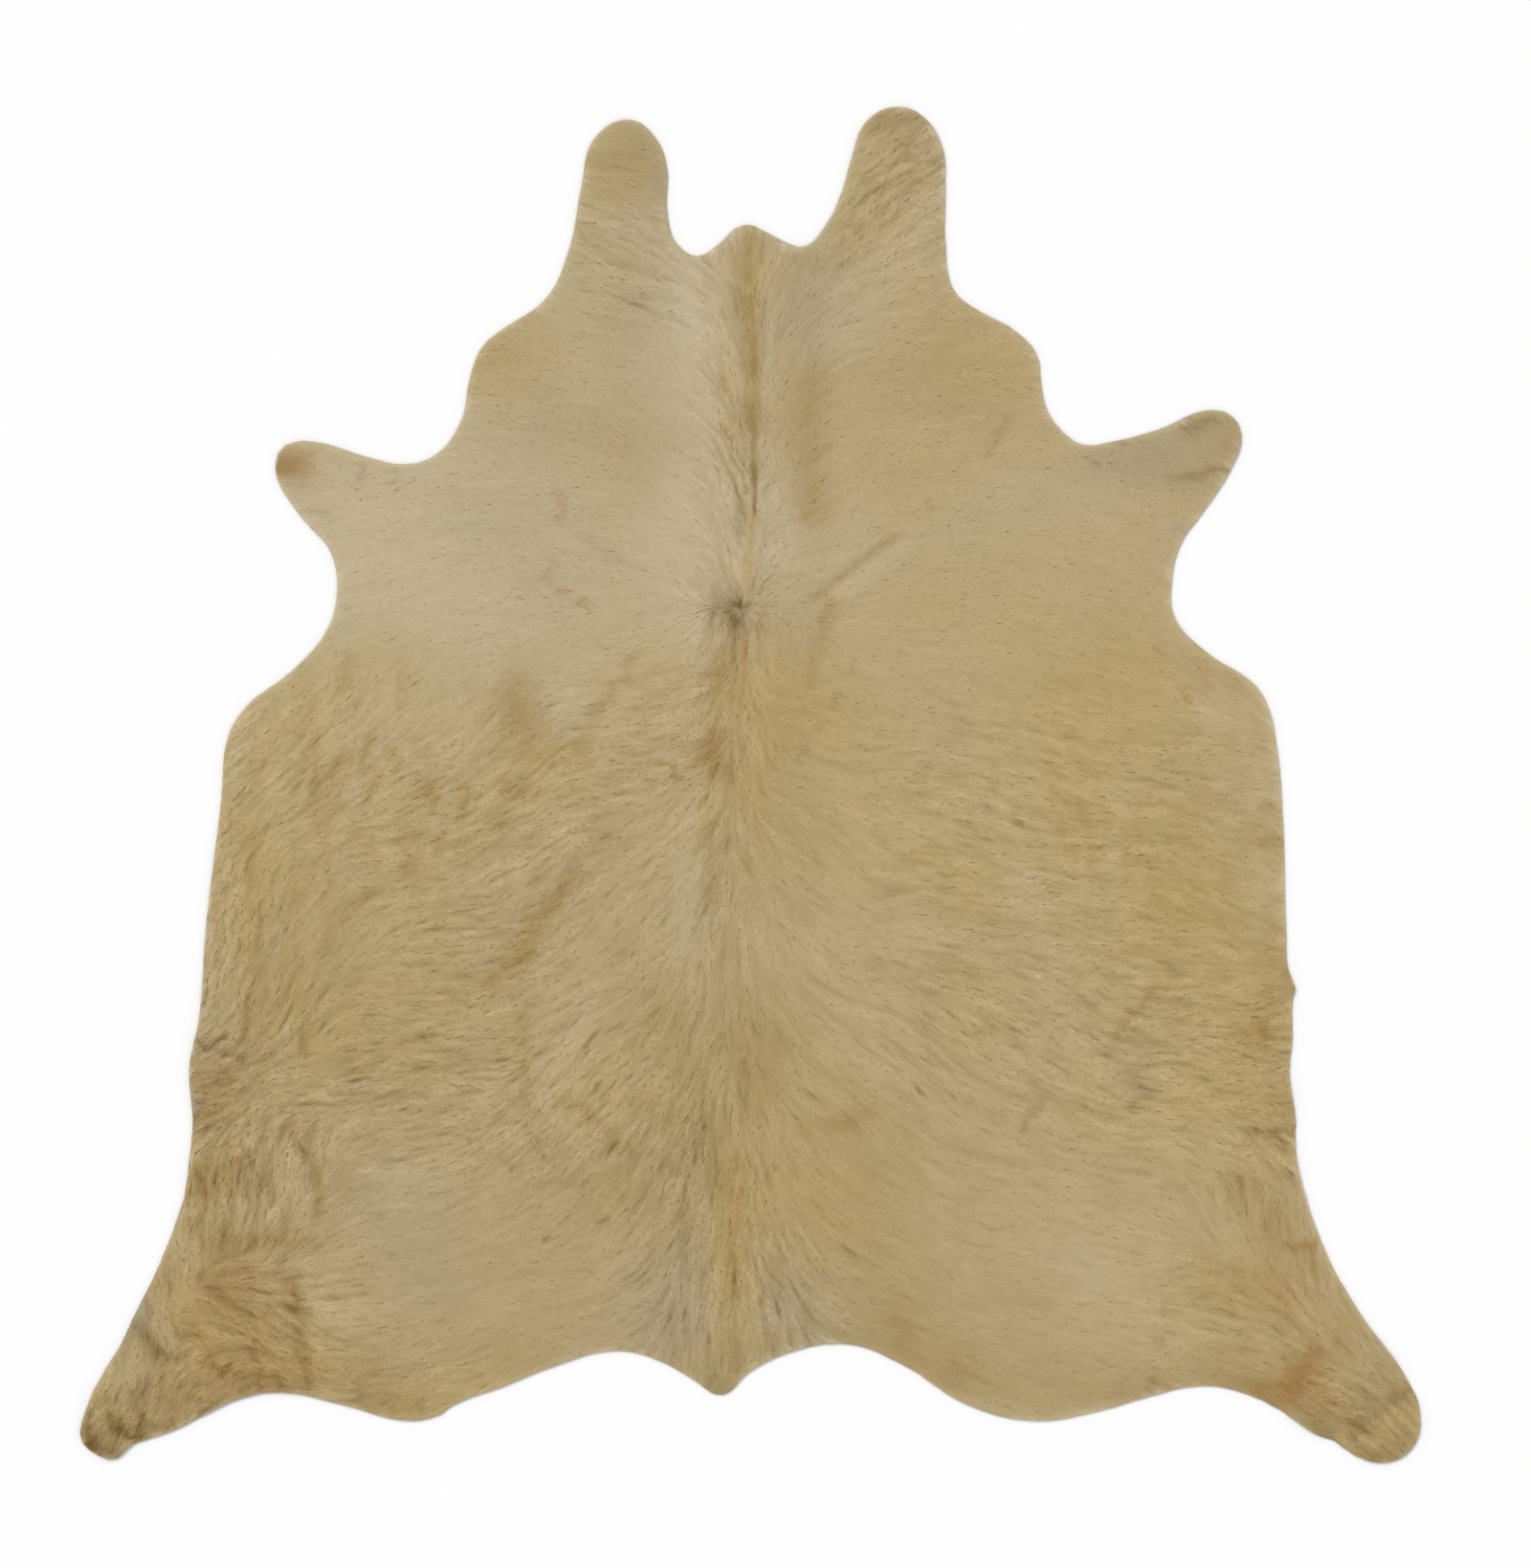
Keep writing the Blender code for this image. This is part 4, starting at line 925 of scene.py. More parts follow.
def leather_top(points, sizes):
    """The height of the leather's hair side, which falls to the floor beyond the cut edge."""
    fields = hide_fields()
    edge = fields.sample(fields.edge, points)
    swell = 0.5 * MM * layered_noise(points, 0.110, 11)
    relief = sizes.leather + sizes.ground_hair + crease_height(points) + swell
    relief += 0.6 * MM * ripples(points)
    relief = np.maximum(relief, 0.4 * sizes.leather)
    return fields.sample(fields.floor_gap, points) + relief * soft_step(-6 * MM, 3 * MM, edge)


def tousle(points, sizes):
    """How much wisps of ruffled hair stand up or sink in."""
    fields = hide_fields()
    relief = sizes.tousle * fields.sample(fields.wisp, points)
    relief += 0.5 * sizes.tousle * fields.sample(fields.silk, points)
    relief *= fields.sample(fields.ruffle, points)
    return relief + 1.2 * sizes.tousle * fields.sample(fields.tuft, points)


def hair_shade(points):
    """How light or dark the streaks of hair are, around 1: partly their own random tone, partly painted
    light and shade on the coat's relief, and painted light along the cut edge.
    """
    fields = hide_fields()
    ruffle, silk, wisp = (
        fields.sample(grid, points) for grid in (fields.ruffle, fields.silk, fields.wisp))
    # The streaks and wisps: random tone, with painted light on the crests that tousle raises and
    # painted shade in its troughs
    shade = 1 + (SILK_SHADE[0] + SILK_SHADE[1] * ruffle) * silk
    shade += (WISP_SHADE[0] + WISP_SHADE[1] * ruffle) * wisp
    # A small lift that keeps the mean, and painted shadow in the streaks' deepest troughs
    shade += 0.018 * ruffle - (0.01 + 0.30 * ruffle) * np.maximum(-silk - 1.3, 0.0)
    # Painted shade at each tuft's start, under the tips before it, and painted light on its raised tips
    shade += TUFT_SHADE * fields.sample(fields.tuft, points)
    # Painted glow of light along the cut edge
    edge = np.maximum(fields.sample(fields.edge, points), 0.0)
    return shade + RIM_GLOW * np.exp(-edge / RIM_WIDTH)


def path_distance(places, path):
    """The distance from each place to a path of straight runs."""
    nearest = np.full(len(places), np.inf)
    for start, end in zip(path[:-1], path[1:]):
        start, run = np.array(start), np.subtract(end, start)
        along = np.clip((places - start) @ run / (run @ run), 0.0, 1.0)
        nearest = np.minimum(nearest, np.hypot(*(places - start - along[:, None] * run).T))
    return nearest


def ripples(points):
    """Soft ripples of the flanks: above 0 on their crests, below 0 in their troughs."""
    wave = layered_noise(points * (RIPPLE_WAVES[1] / RIPPLE_WAVES[0], 1.0), RIPPLE_WAVES[1], 91)
    return 2.4 * wave * patch_mask(points, RIPPLES)


def tone_masks(points):
    """How strongly each tone colours the coat at each point."""
    broad = wandered(points, PATCH_WANDER, PATCH_WAVE, 21)
    narrow = wandered(points, MARK_WANDER, MARK_WAVE, 51)
    uneven = 0.85 + 0.30 * layered_noise(points, 0.020, 71)
    left = {tone: 1 - patch_mask(broad, patches) for tone, patches in TONE_PATCHES.items()}
    for marks in TONE_MARKS.values():
        for mark in marks:
            reach = 3 * mark.half_width
            low, high = np.min(mark.path, axis=0) - reach, np.max(mark.path, axis=0) + reach
            near = np.flatnonzero(((narrow > low) & (narrow < high)).all(axis=1))
            share = path_distance(narrow[near], mark.path) / mark.half_width
            left[mark.tone][near] *= 1 - mark.strength * uneven[near] * np.exp(-share ** 2)
    fields = hide_fields()
    left["pale"] *= 1 - RIM_PALE * np.exp(-np.maximum(fields.sample(fields.edge, points), 0.0)
                                          / RIM_WIDTH)
    # The ripples' troughs take more ochre and tan: partly stained hair, partly painted shade in the
    # troughs
    trough_stain_and_shade = np.clip(-ripples(broad), 0.0, 1.0)
    left["ochre"] *= 1 - 0.35 * trough_stain_and_shade
    left["tan"] *= 1 - 0.16 * trough_stain_and_shade
    return np.column_stack([np.clip(1 - left[tone], 0.0, 1.0) for tone in TONES])


# Materials

def add_node(tree, kind, place, **settings):
    """A new shader node at a place in the editor, with its settings."""
    node = tree.nodes.new(kind)
    node.location = place
    for name, value in settings.items():
        setattr(node, name, value)
    return node


def mix_colour(tree, place, factor, first, second, blend="MIX"):
    """A colour mix whose inputs are sockets or plain values."""
    node = add_node(tree, "ShaderNodeMix", place, data_type="RGBA", blend_type=blend)
    for socket, value in ((node.inputs[0], factor), (node.inputs[6], first),
                          (node.inputs[7], second)):
        if isinstance(value, bpy.types.NodeSocket):
            tree.links.new(value, socket)
        else:
            socket.default_value = value
    return node.outputs[2]


def group_tree(name, inputs, outputs):
    """A new shader node group with its input and output nodes."""
    tree = bpy.data.node_groups.new(name, "ShaderNodeTree")
    for label, kind, value in inputs:
        socket = tree.interface.new_socket(label, in_out="INPUT", socket_type=kind)
        if value is not None:
            socket.default_value = value
    for label, kind in outputs:
        tree.interface.new_socket(label, in_out="OUTPUT", socket_type=kind)
    return tree, add_node(tree, "NodeGroupInput", (-900, 0)), add_node(
        tree, "NodeGroupOutput", (900, 0))


def coat_tones_group(colours):
    """The coat's ground colour with each tone mixed in by its own mask."""
    tree, entry, leave = group_tree(
        "coat_tones",
        [("Cream", "NodeSocketColor", colours.cream)]
        + [(tone.title(), "NodeSocketColor", getattr(colours, tone)) for tone in TONES],
        [("Colour", "NodeSocketColor")])
    masks = []
    for index, name in enumerate(TONE_LAYERS):
        layer = add_node(tree, "ShaderNodeAttribute", (-900, -300 - 200 * index),
                         attribute_name=name)
        split = add_node(tree, "ShaderNodeSeparateXYZ", (-700, -300 - 200 * index))
        tree.links.new(layer.outputs["Vector"], split.inputs[0])
        masks += split.outputs[:]
    colour = entry.outputs["Cream"]
    for index, (tone, mask) in enumerate(zip(TONES, masks)):
        colour = mix_colour(tree, (-450 + 200 * index, 0), mask, colour,
                            entry.outputs[tone.title()])
    tree.links.new(colour, leave.inputs["Colour"])
    return tree


def strand_group():
    """Fine single hairs along a lock, from its own across, along and chance coordinates."""
    tree, entry, leave = group_tree(
        "hair_strands", [("Hairs", "NodeSocketFloat", 5.0), ("Contrast", "NodeSocketFloat", 0.3)],
        [("Streak", "NodeSocketFloat")])
    place = add_node(tree, "ShaderNodeAttribute", (-900, -300), attribute_name="strand")
    split = add_node(tree, "ShaderNodeSeparateXYZ", (-700, -300))
    tree.links.new(place.outputs["Vector"], split.inputs[0])
    across = add_node(tree, "ShaderNodeMath", (-500, -200), operation="MULTIPLY")
    tree.links.new(split.outputs[0], across.inputs[0])
    tree.links.new(entry.outputs["Hairs"], across.inputs[1])
    chance = add_node(tree, "ShaderNodeMath", (-500, -400), operation="MULTIPLY")
    tree.links.new(split.outputs[2], chance.inputs[0])
    chance.inputs[1].default_value = 97.0
    joined = add_node(tree, "ShaderNodeCombineXYZ", (-300, -300))
    for source, target in ((across.outputs[0], 0), (split.outputs[1], 1), (chance.outputs[0], 2)):
        tree.links.new(source, joined.inputs[target])
    noise = add_node(tree, "ShaderNodeTexNoise", (-100, -300))
    noise.inputs["Scale"].default_value = 1.0
    noise.inputs["Detail"].default_value = 2.0
    tree.links.new(joined.outputs[0], noise.inputs["Vector"])
    spread = add_node(tree, "ShaderNodeMapRange", (150, -300))
    spread.inputs["From Min"].default_value = 0.25
    spread.inputs["From Max"].default_value = 0.75
    tree.links.new(noise.outputs["Fac"], spread.inputs["Value"])
    low = add_node(tree, "ShaderNodeMath", (150, -50), operation="SUBTRACT")
    low.inputs[0].default_value = 1.0
    tree.links.new(entry.outputs["Contrast"], low.inputs[1])
    high = add_node(tree, "ShaderNodeMath", (150, 100), operation="ADD")
    high.inputs[0].default_value = 1.0
    tree.links.new(entry.outputs["Contrast"], high.inputs[1])
    tree.links.new(low.outputs[0], spread.inputs["To Min"])
    tree.links.new(high.outputs[0], spread.inputs["To Max"])
    tree.links.new(spread.outputs[0], leave.inputs["Streak"])
    return tree


def new_material(name):
    """An empty node material with its shader and tree."""
    material = bpy.data.materials.new(name)
    material.use_nodes = True
    return material, material.node_tree, material.node_tree.nodes["Principled BSDF"]


def place_group(tree, group, place):
    """A node group set into a material."""
    return add_node(tree, "ShaderNodeGroup", place, node_tree=group)


def hair_material(groups):
    """The locks: the coat's tones, with painted shade towards their roots and the painted light and
    shade of the streaks, with single hairs along them.
    """
    material, tree, shader = new_material("cream_hair")
    tones = place_group(tree, groups["tones"], (-900, 200))
    hairs = place_group(tree, groups["strands"], (-900, -200))
    hairs.inputs["Hairs"].default_value = 3.0
    hairs.inputs["Contrast"].default_value = 0.05
    # The painted shade of each vertex, and its place along the lock
    painted_shade_layer = add_node(tree, "ShaderNodeAttribute", (-1100, 0), attribute_name="shade_and_depth")
    split = add_node(tree, "ShaderNodeSeparateXYZ", (-900, 0))
    tree.links.new(painted_shade_layer.outputs["Vector"], split.inputs[0])
    # Painted shade towards each lock's root, where the locks above shade it
    root = add_node(tree, "ShaderNodeMapRange", (-650, 0))
    root.inputs["To Min"].default_value = 0.96
    root.inputs["To Max"].default_value = 1.02
    tree.links.new(split.outputs[1], root.inputs["Value"])
    shade = add_node(tree, "ShaderNodeMath", (-450, 0), operation="MULTIPLY")
    tree.links.new(root.outputs[0], shade.inputs[0])
    tree.links.new(split.outputs[0], shade.inputs[1])
    full = add_node(tree, "ShaderNodeMath", (-250, 0), operation="MULTIPLY")
    tree.links.new(shade.outputs[0], full.inputs[0])
    tree.links.new(hairs.outputs["Streak"], full.inputs[1])
    # The painted shade, turned browner as it darkens
    grey = add_node(tree, "ShaderNodeCombineColor", (-250, -200))
    for row, (socket, power) in enumerate(zip(grey.inputs, SHADE_POWERS)):
        channel = add_node(tree, "ShaderNodeMath", (-450, -200 - 150 * row), operation="POWER")
        channel.inputs[1].default_value = power
        tree.links.new(full.outputs[0], channel.inputs[0])
        tree.links.new(channel.outputs[0], socket)
    colour = mix_colour(tree, (-50, 100), 1.0, tones.outputs["Colour"], grey.outputs[0],
                        "MULTIPLY")
    tree.links.new(colour, shader.inputs["Base Color"])
    bump = add_node(tree, "ShaderNodeBump", (-250, -400))
    bump.inputs["Strength"].default_value = 0.25
    bump.inputs["Distance"].default_value = 0.2 * MM
    tree.links.new(hairs.outputs["Streak"], bump.inputs["Height"])
    tree.links.new(bump.outputs["Normal"], shader.inputs["Normal"])
    shader.inputs["Roughness"].default_value = 0.55
    shader.inputs["Specular IOR Level"].default_value = 0.20
    return material


def ground_hair_material(groups):
    """The dense short hair under the locks, a little darker than they are: the skin's colour mixed in,
    partly skin showing through and partly painted shade between the locks.
    """
    material, tree, shader = new_material("ground_hair")
    tones = place_group(tree, groups["tones"], (-900, 200))
    # Skin colour mixed in: partly skin showing through, partly painted shade between the locks
    colour = mix_colour(tree, (-300, 100), 0.08, tones.outputs["Colour"],
                        tuple(bpy.context.scene.coat_colours.skin))
    noise = add_node(tree, "ShaderNodeTexNoise", (-700, -200))
    noise.inputs["Scale"].default_value = 220.0
    noise.inputs["Detail"].default_value = 4.0
    place = add_node(tree, "ShaderNodeTexCoord", (-900, -200))
    tree.links.new(place.outputs["Object"], noise.inputs["Vector"])
    bump = add_node(tree, "ShaderNodeBump", (-300, -300))
    bump.inputs["Strength"].default_value = 0.3
    bump.inputs["Distance"].default_value = 0.3 * MM
    tree.links.new(noise.outputs["Fac"], bump.inputs["Height"])
    tree.links.new(bump.outputs["Normal"], shader.inputs["Normal"])
    tree.links.new(colour, shader.inputs["Base Color"])
    shader.inputs["Roughness"].default_value = 0.8
    shader.inputs["Specular IOR Level"].default_value = 0.20
    return material


def suede_material():
    """The flesh side: a fine matt nap with faint clouds."""
    material, tree, shader = new_material("suede_flesh_side")
    suede = tuple(bpy.context.scene.coat_colours.suede)
    place = add_node(tree, "ShaderNodeTexCoord", (-1100, 0))
    clouds = add_node(tree, "ShaderNodeTexNoise", (-850, 200))
    clouds.inputs["Scale"].default_value = 5.0
    clouds.inputs["Detail"].default_value = 5.0
    nap = add_node(tree, "ShaderNodeTexNoise", (-850, -100))
    nap.inputs["Scale"].default_value = 420.0
    nap.inputs["Detail"].default_value = 3.0
    for node in (clouds, nap):
        tree.links.new(place.outputs["Object"], node.inputs["Vector"])
    darker = tuple(value * 0.72 for value in suede[:3]) + (1.0,)
    clouded = mix_colour(tree, (-500, 200), clouds.outputs["Fac"], darker, suede)
    fibre = mix_colour(tree, (-250, 150), 0.18, clouded, nap.outputs["Color"], "SOFT_LIGHT")
    tree.links.new(fibre, shader.inputs["Base Color"])
    bump = add_node(tree, "ShaderNodeBump", (-300, -300))
    bump.inputs["Strength"].default_value = 0.6
    bump.inputs["Distance"].default_value = 0.4 * MM
    tree.links.new(nap.outputs["Fac"], bump.inputs["Height"])
    tree.links.new(bump.outputs["Normal"], shader.inputs["Normal"])
    shader.inputs["Roughness"].default_value = 0.95
    shader.inputs["Sheen Weight"].default_value = 0.25
    return material


# Pieces

def finish_piece(piece):
    """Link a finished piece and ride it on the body."""
    bpy.context.scene.collection.objects.link(piece)
    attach(piece, BODY)


def set_vectors(mesh, name, values):
    """Store one vector for each vertex."""
    layer = mesh.attributes.new(name, "FLOAT_VECTOR", "POINT")
    layer.data.foreach_set("vector", np.ascontiguousarray(values, dtype=np.float32).ravel())


def set_tones(mesh, masks):
    """Store the tone masks for each vertex, three to a layer."""
    for index, name in enumerate(TONE_LAYERS):
        set_vectors(mesh, name, masks[:, 3 * index:3 * index + 3])


def flat_uv(mesh, places):
    """A plan view of the piece as its UV map for baking."""
    corner = np.empty(len(mesh.loops), dtype=np.int32)
    mesh.loops.foreach_get("vertex_index", corner)
    low, high = places.min(axis=0), places.max(axis=0)
    spread = (places - low) / (high - low)
    layer = mesh.uv_layers.new(name="OFBake")
    layer.data.foreach_set("uv", (0.004 + 0.992 * spread)[corner].astype(np.float32).ravel())


class COWHIDE_OT_hide_sheet(bpy.types.Operator):
    """Make the tanned sheet: hair side, flesh side and cut edge"""

    bl_idname = "cowhide.hide_sheet"
    bl_label = "Leather sheet"

    def execute(self, context):
        sizes = context.scene.hide_sizes
        fields = hide_fields()
        sheet = bmesh.new()
        span = fields.span
        count = np.ceil(span / sizes.sheet_cell).astype(int)
        bmesh.ops.create_grid(sheet, x_segments=count[0], y_segments=count[1], size=0.5)
        middle = fields.low + span / 2
        bmesh.ops.scale(sheet, vec=(*span, 1.0), verts=sheet.verts)
        bmesh.ops.translate(sheet, vec=(*middle, 0.0), verts=sheet.verts)
        centres = np.array([face.calc_center_median()[:2] for face in sheet.faces])
        room = fields.sample(fields.edge, centres) - sizes.edge_inset
        spare = [face for face, gap in zip(sheet.faces, room) if gap < 0.15 * sizes.sheet_cell]
        bmesh.ops.delete(sheet, geom=spare, context="FACES")
        self.trim_to_edge(sheet, fields, sizes.edge_inset)
        bmesh.ops.remove_doubles(sheet, verts=sheet.verts[:], dist=2.0 * MM)
        flesh_side = sheet.verts[:]
        grown = bmesh.ops.extrude_face_region(sheet, geom=sheet.faces[:], use_keep_orig=True)
        hair_side = [item for item in grown["geom"] if isinstance(item, bmesh.types.BMVert)]
        self.set_heights(flesh_side, hair_side, fields, sizes)
        bmesh.ops.recalc_face_normals(sheet, faces=sheet.faces[:])
        for face in sheet.faces:
            face.material_index = 0 if face.normal.z > 0.3 else 1
            face.smooth = True
        mesh = bpy.data.meshes.new("hide_sheet")
        sheet.to_mesh(mesh)
        sheet.free()
        if len(mesh.polygons) == 0:
            raise RuntimeError("the leather sheet has no faces")
        places = np.array([vertex.co[:2] for vertex in mesh.vertices])
        set_tones(mesh, tone_masks(places))
        mesh.materials.append(bpy.data.materials["ground_hair"])
        mesh.materials.append(bpy.data.materials["suede_flesh_side"])
        piece = bpy.data.objects.new("hide_sheet", mesh)
        finish_piece(piece)
        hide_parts(NODE)
        return {"FINISHED"}

    @staticmethod
    def trim_to_edge(sheet, fields, inset):
        """Slide the open border's vertices onto the cut edge."""
        border = [vertex for vertex in sheet.verts if vertex.is_boundary]
        places = np.array([vertex.co[:2] for vertex in border])
        for _ in range(4):
            gap = fields.sample(fields.edge, places) - inset
            places = places - fields.inward(places) * gap[:, None]
        for vertex, (x, y) in zip(border, places):
            vertex.co.x, vertex.co.y = x, y

    @staticmethod
    def set_heights(flesh_side, hair_side, fields, sizes):
        """Lift both sides of the sheet to their heights."""
        flesh = np.array([vertex.co[:2] for vertex in flesh_side])
        hair = np.array([vertex.co[:2] for vertex in hair_side])
        for vertex, height in zip(flesh_side, fields.sample(fields.floor_gap, flesh)):
            vertex.co.z = height
        for vertex, height in zip(hair_side, leather_top(hair, sizes) - ROOT_DEPTH):
            vertex.co.z = height


# How much of its height a lock has reached at its root, at its middle and at its tip
LOCK_PROFILE = {0.0: 0.10, 0.5: 0.92, 1.0: 1.00}


def lock_template():
    """One lock of hair as a narrow blade: its points as (across, along), and its faces."""
    blade = bmesh.new()
    bmesh.ops.create_grid(blade, x_segments=1, y_segments=2, size=0.5)
    tip = [vertex for vertex in blade.verts if vertex.co.y > 0.4]
    bmesh.ops.pointmerge(blade, verts=tip, merge_co=(0.0, 0.5, 0.0))
    blade.verts.index_update()
    points = np.array([(vertex.co.x, vertex.co.y + 0.5) for vertex in blade.verts])
    faces = [[vertex.index for vertex in face.verts] for face in blade.faces]
    blade.free()
    points[:, 0] *= np.where(points[:, 1] < 0.1, 0.7, 1.0)
    return points.round(3), faces


def root_places(fields, sizes, chance):
    """Jittered roots of the locks inside the cut edge, and an even row of them along it."""
    step = sizes.lock_spacing
    columns, rows = np.ceil(fields.span / (step, step * 0.866)).astype(int)
    column, row = np.meshgrid(np.arange(columns), np.arange(rows), indexing="ij")
    roots = np.column_stack([
        ((column + 0.5 * (row % 2)) * step).ravel(), (row * step * 0.866).ravel()])
    roots = roots + fields.low + chance.uniform(-0.42, 0.42, roots.shape) * step
    roots = roots[fields.sample(fields.edge, roots) > sizes.rim_inset]
    rim = dense_ring(fields.ring, sizes.rim_spacing)
    rim = rim + fields.inward(rim) * chance.uniform(0.8, 1.3, (len(rim), 1)) * sizes.rim_inset
    return np.vstack([roots, rim])


def clump_of(roots, fields, step, chance):
    """The nearest clump's place and number for each root."""
    columns, rows = np.ceil(fields.span / step).astype(int) + 1
    column, row = np.meshgrid(np.arange(columns), np.arange(rows), indexing="ij")
    centres = np.stack([column, row], axis=-1) * step + fields.low
    centres = centres + chance.uniform(-0.45, 0.45, centres.shape) * step
    home = np.floor((roots - fields.low) / step + 0.5).astype(int)
    best = np.full(len(roots), np.inf)
    number = np.zeros(len(roots), dtype=int)
    for di in (-1, 0, 1):
        for dj in (-1, 0, 1):
            i = np.clip(home[:, 0] + di, 0, columns - 1)
            j = np.clip(home[:, 1] + dj, 0, rows - 1)
            gap = np.square(roots - centres[i, j]).sum(axis=1)
            nearer = gap < best
            best = np.where(nearer, gap, best)
            number = np.where(nearer, i * rows + j, number)
    return centres.reshape(-1, 2)[number], number


class COWHIDE_OT_coat(bpy.types.Operator):
    """Lay the coat: tapered locks of hair, in bands from the neck to the rump"""

    bl_idname = "cowhide.coat"
    bl_label = "Lying coat"

    def execute(self, context):
        sizes = context.scene.hide_sizes
        fields = hide_fields()
        chance = np.random.default_rng(sizes.seed)
        roots = root_places(fields, sizes, chance)
        if len(roots) == 0:
            raise RuntimeError("no lock has room on the hide")
        locks = self.lay_locks(roots, fields, sizes, chance)
        order = np.argsort(-roots[:, 1], kind="stable")
        shares = np.array_split(order, len(COAT_BANDS))
        for band, share in zip(COAT_BANDS, shares):
            self.make_band("coat_" + band, {name: part[share] for name, part in locks.items()})
        return {"FINISHED"}

    @staticmethod
    def lay_locks(roots, fields, sizes, chance):
        """Every lock's points, tones, shade and own coordinates."""
        count = len(roots)
        template, _ = lock_template()
        ruffle, silk, wisp = (
            fields.sample(grid, roots) for grid in (fields.ruffle, fields.silk, fields.wisp))
        centre, number = clump_of(roots, fields, sizes.clump, chance)
        clump = chance.normal(size=(number.max() + 1, 3))[number]
        own = chance.normal(size=(count, 4))
        turn = 6 * ruffle * clump[:, 0] + (1.5 + 6 * ruffle) * own[:, 0]
        ahead = turned(fields.lay(roots), np.radians(turn))
        aside = np.column_stack([-ahead[:, 1], ahead[:, 0]])
        length = sizes.lock_length * chance.uniform(0.75, 1.25, count) * (1.0 + 0.15 * ruffle)
        width = sizes.lock_width * chance.uniform(0.70, 1.30, count)
        for _ in range(3):
            tip_room = fields.sample(fields.edge, roots + ahead * length[:, None])
            over = np.maximum(-sizes.overhang - tip_room, 0.0)
            length = np.maximum(length - 1.1 * over, 3 * MM)
        bend = 0.03 * own[:, 1] + ruffle * (0.10 * clump[:, 1] + 0.06 * own[:, 1])
        drift = ((roots - centre) * aside).sum(axis=1) * (0.10 + 0.45 * ruffle)
        rise = 0.50 + 0.42 * ruffle + 0.04 * own[:, 2] + 0.08 * ruffle * clump[:, 2]
        rise = sizes.nap * np.clip(rise, 0.4, 1.3)
        roll = (0.02 + 0.10 * ruffle) * own[:, 3]
        feather = sizes.feather * (0.6 * wisp + 0.3 * silk + 0.3 * own[:, 1])
        points = np.empty((count, len(template), 3))
        masks = np.empty((count, len(template), len(TONES)))
        shade = np.empty((count, len(template)))
        for index, (across, along) in enumerate(template):
            sideways = across * width + bend * length * along ** 2 - drift * along
            place = roots + ahead * (length * along)[:, None] + aside * sideways[:, None]
            over = np.maximum(-sizes.overhang - fields.sample(fields.edge, place), 0.0)
            place += fields.inward(place) * over[:, None]
            lift = rise * LOCK_PROFILE[along] + roll * across * width
            height = leather_top(place, sizes) + tousle(place, sizes) * along + lift
            points[:, index, :2] = place
            points[:, index, 2] = np.maximum(height, 0.6 * MM)
            # Painted light and shade of the streaks, tufts and cut edge, with each lock's and clump's
            # own random tone
            shade[:, index] = hair_shade(place) + 0.008 * own[:, 0] + 0.02 * ruffle * clump[:, 1]
            if across >= 0:
                masks[:, index] = tone_masks(roots + ahead * (length * along + feather)[:, None])
        masks[:, template[:, 0] < 0] = masks[:, template[:, 0] > 0]
        return {"points": points, "masks": masks, "shade": np.clip(shade, 0.5, 1.3),
                "own": chance.uniform(size=count)}

    @staticmethod
    def make_band(name, locks):
        """One joined mesh of locks."""
        template, faces = lock_template()
        count, size = len(locks["points"]), len(template)
        corners = np.concatenate([np.array(face) for face in faces])
        lengths = np.tile([len(face) for face in faces], count)
        mesh = bpy.data.meshes.new(name)
        mesh.vertices.add(count * size)
        mesh.loops.add(count * len(corners))
        mesh.polygons.add(len(lengths))
        mesh.vertices.foreach_set("co", locks["points"].astype(np.float32).ravel())
        starts = np.concatenate([[0], np.cumsum(lengths)[:-1]])
        mesh.loops.foreach_set(
            "vertex_index", (corners + size * np.arange(count)[:, None]).ravel().astype(np.int32))
        mesh.polygons.foreach_set("loop_start", starts.astype(np.int32))
        mesh.polygons.foreach_set("use_smooth", np.ones(len(lengths), dtype=bool))
        mesh.update(calc_edges=True)
        mesh.validate()
        every = np.repeat(np.arange(count), size)
        along = np.tile(template[:, 1], count)
        set_tones(mesh, locks["masks"].reshape(count * size, -1))
        # Painted shade of each vertex, and its place along the lock, which sets the painted shade at
        # the roots
        set_vectors(mesh, "shade_and_depth", np.column_stack([
            locks["shade"].ravel(), along, np.zeros(len(along))]))
        set_vectors(mesh, "strand", np.column_stack([
            np.tile(template[:, 0], count), along, locks["own"][every]]))
        flat_uv(mesh, locks["points"].reshape(-1, 3)[:, :2])
        mesh.materials.append(bpy.data.materials["cream_hair"])
        finish_piece(bpy.data.objects.new(name, mesh))


class COWHIDE_OT_materials(bpy.types.Operator):
    """Build the shared node groups and the three finishes"""

    bl_idname = "cowhide.materials"
    bl_label = "Finishes"

    def execute(self, context):
        groups = {"tones": coat_tones_group(context.scene.coat_colours),
                  "strands": strand_group()}
        hair_material(groups)
        ground_hair_material(groups)
        suede_material()
        return {"FINISHED"}


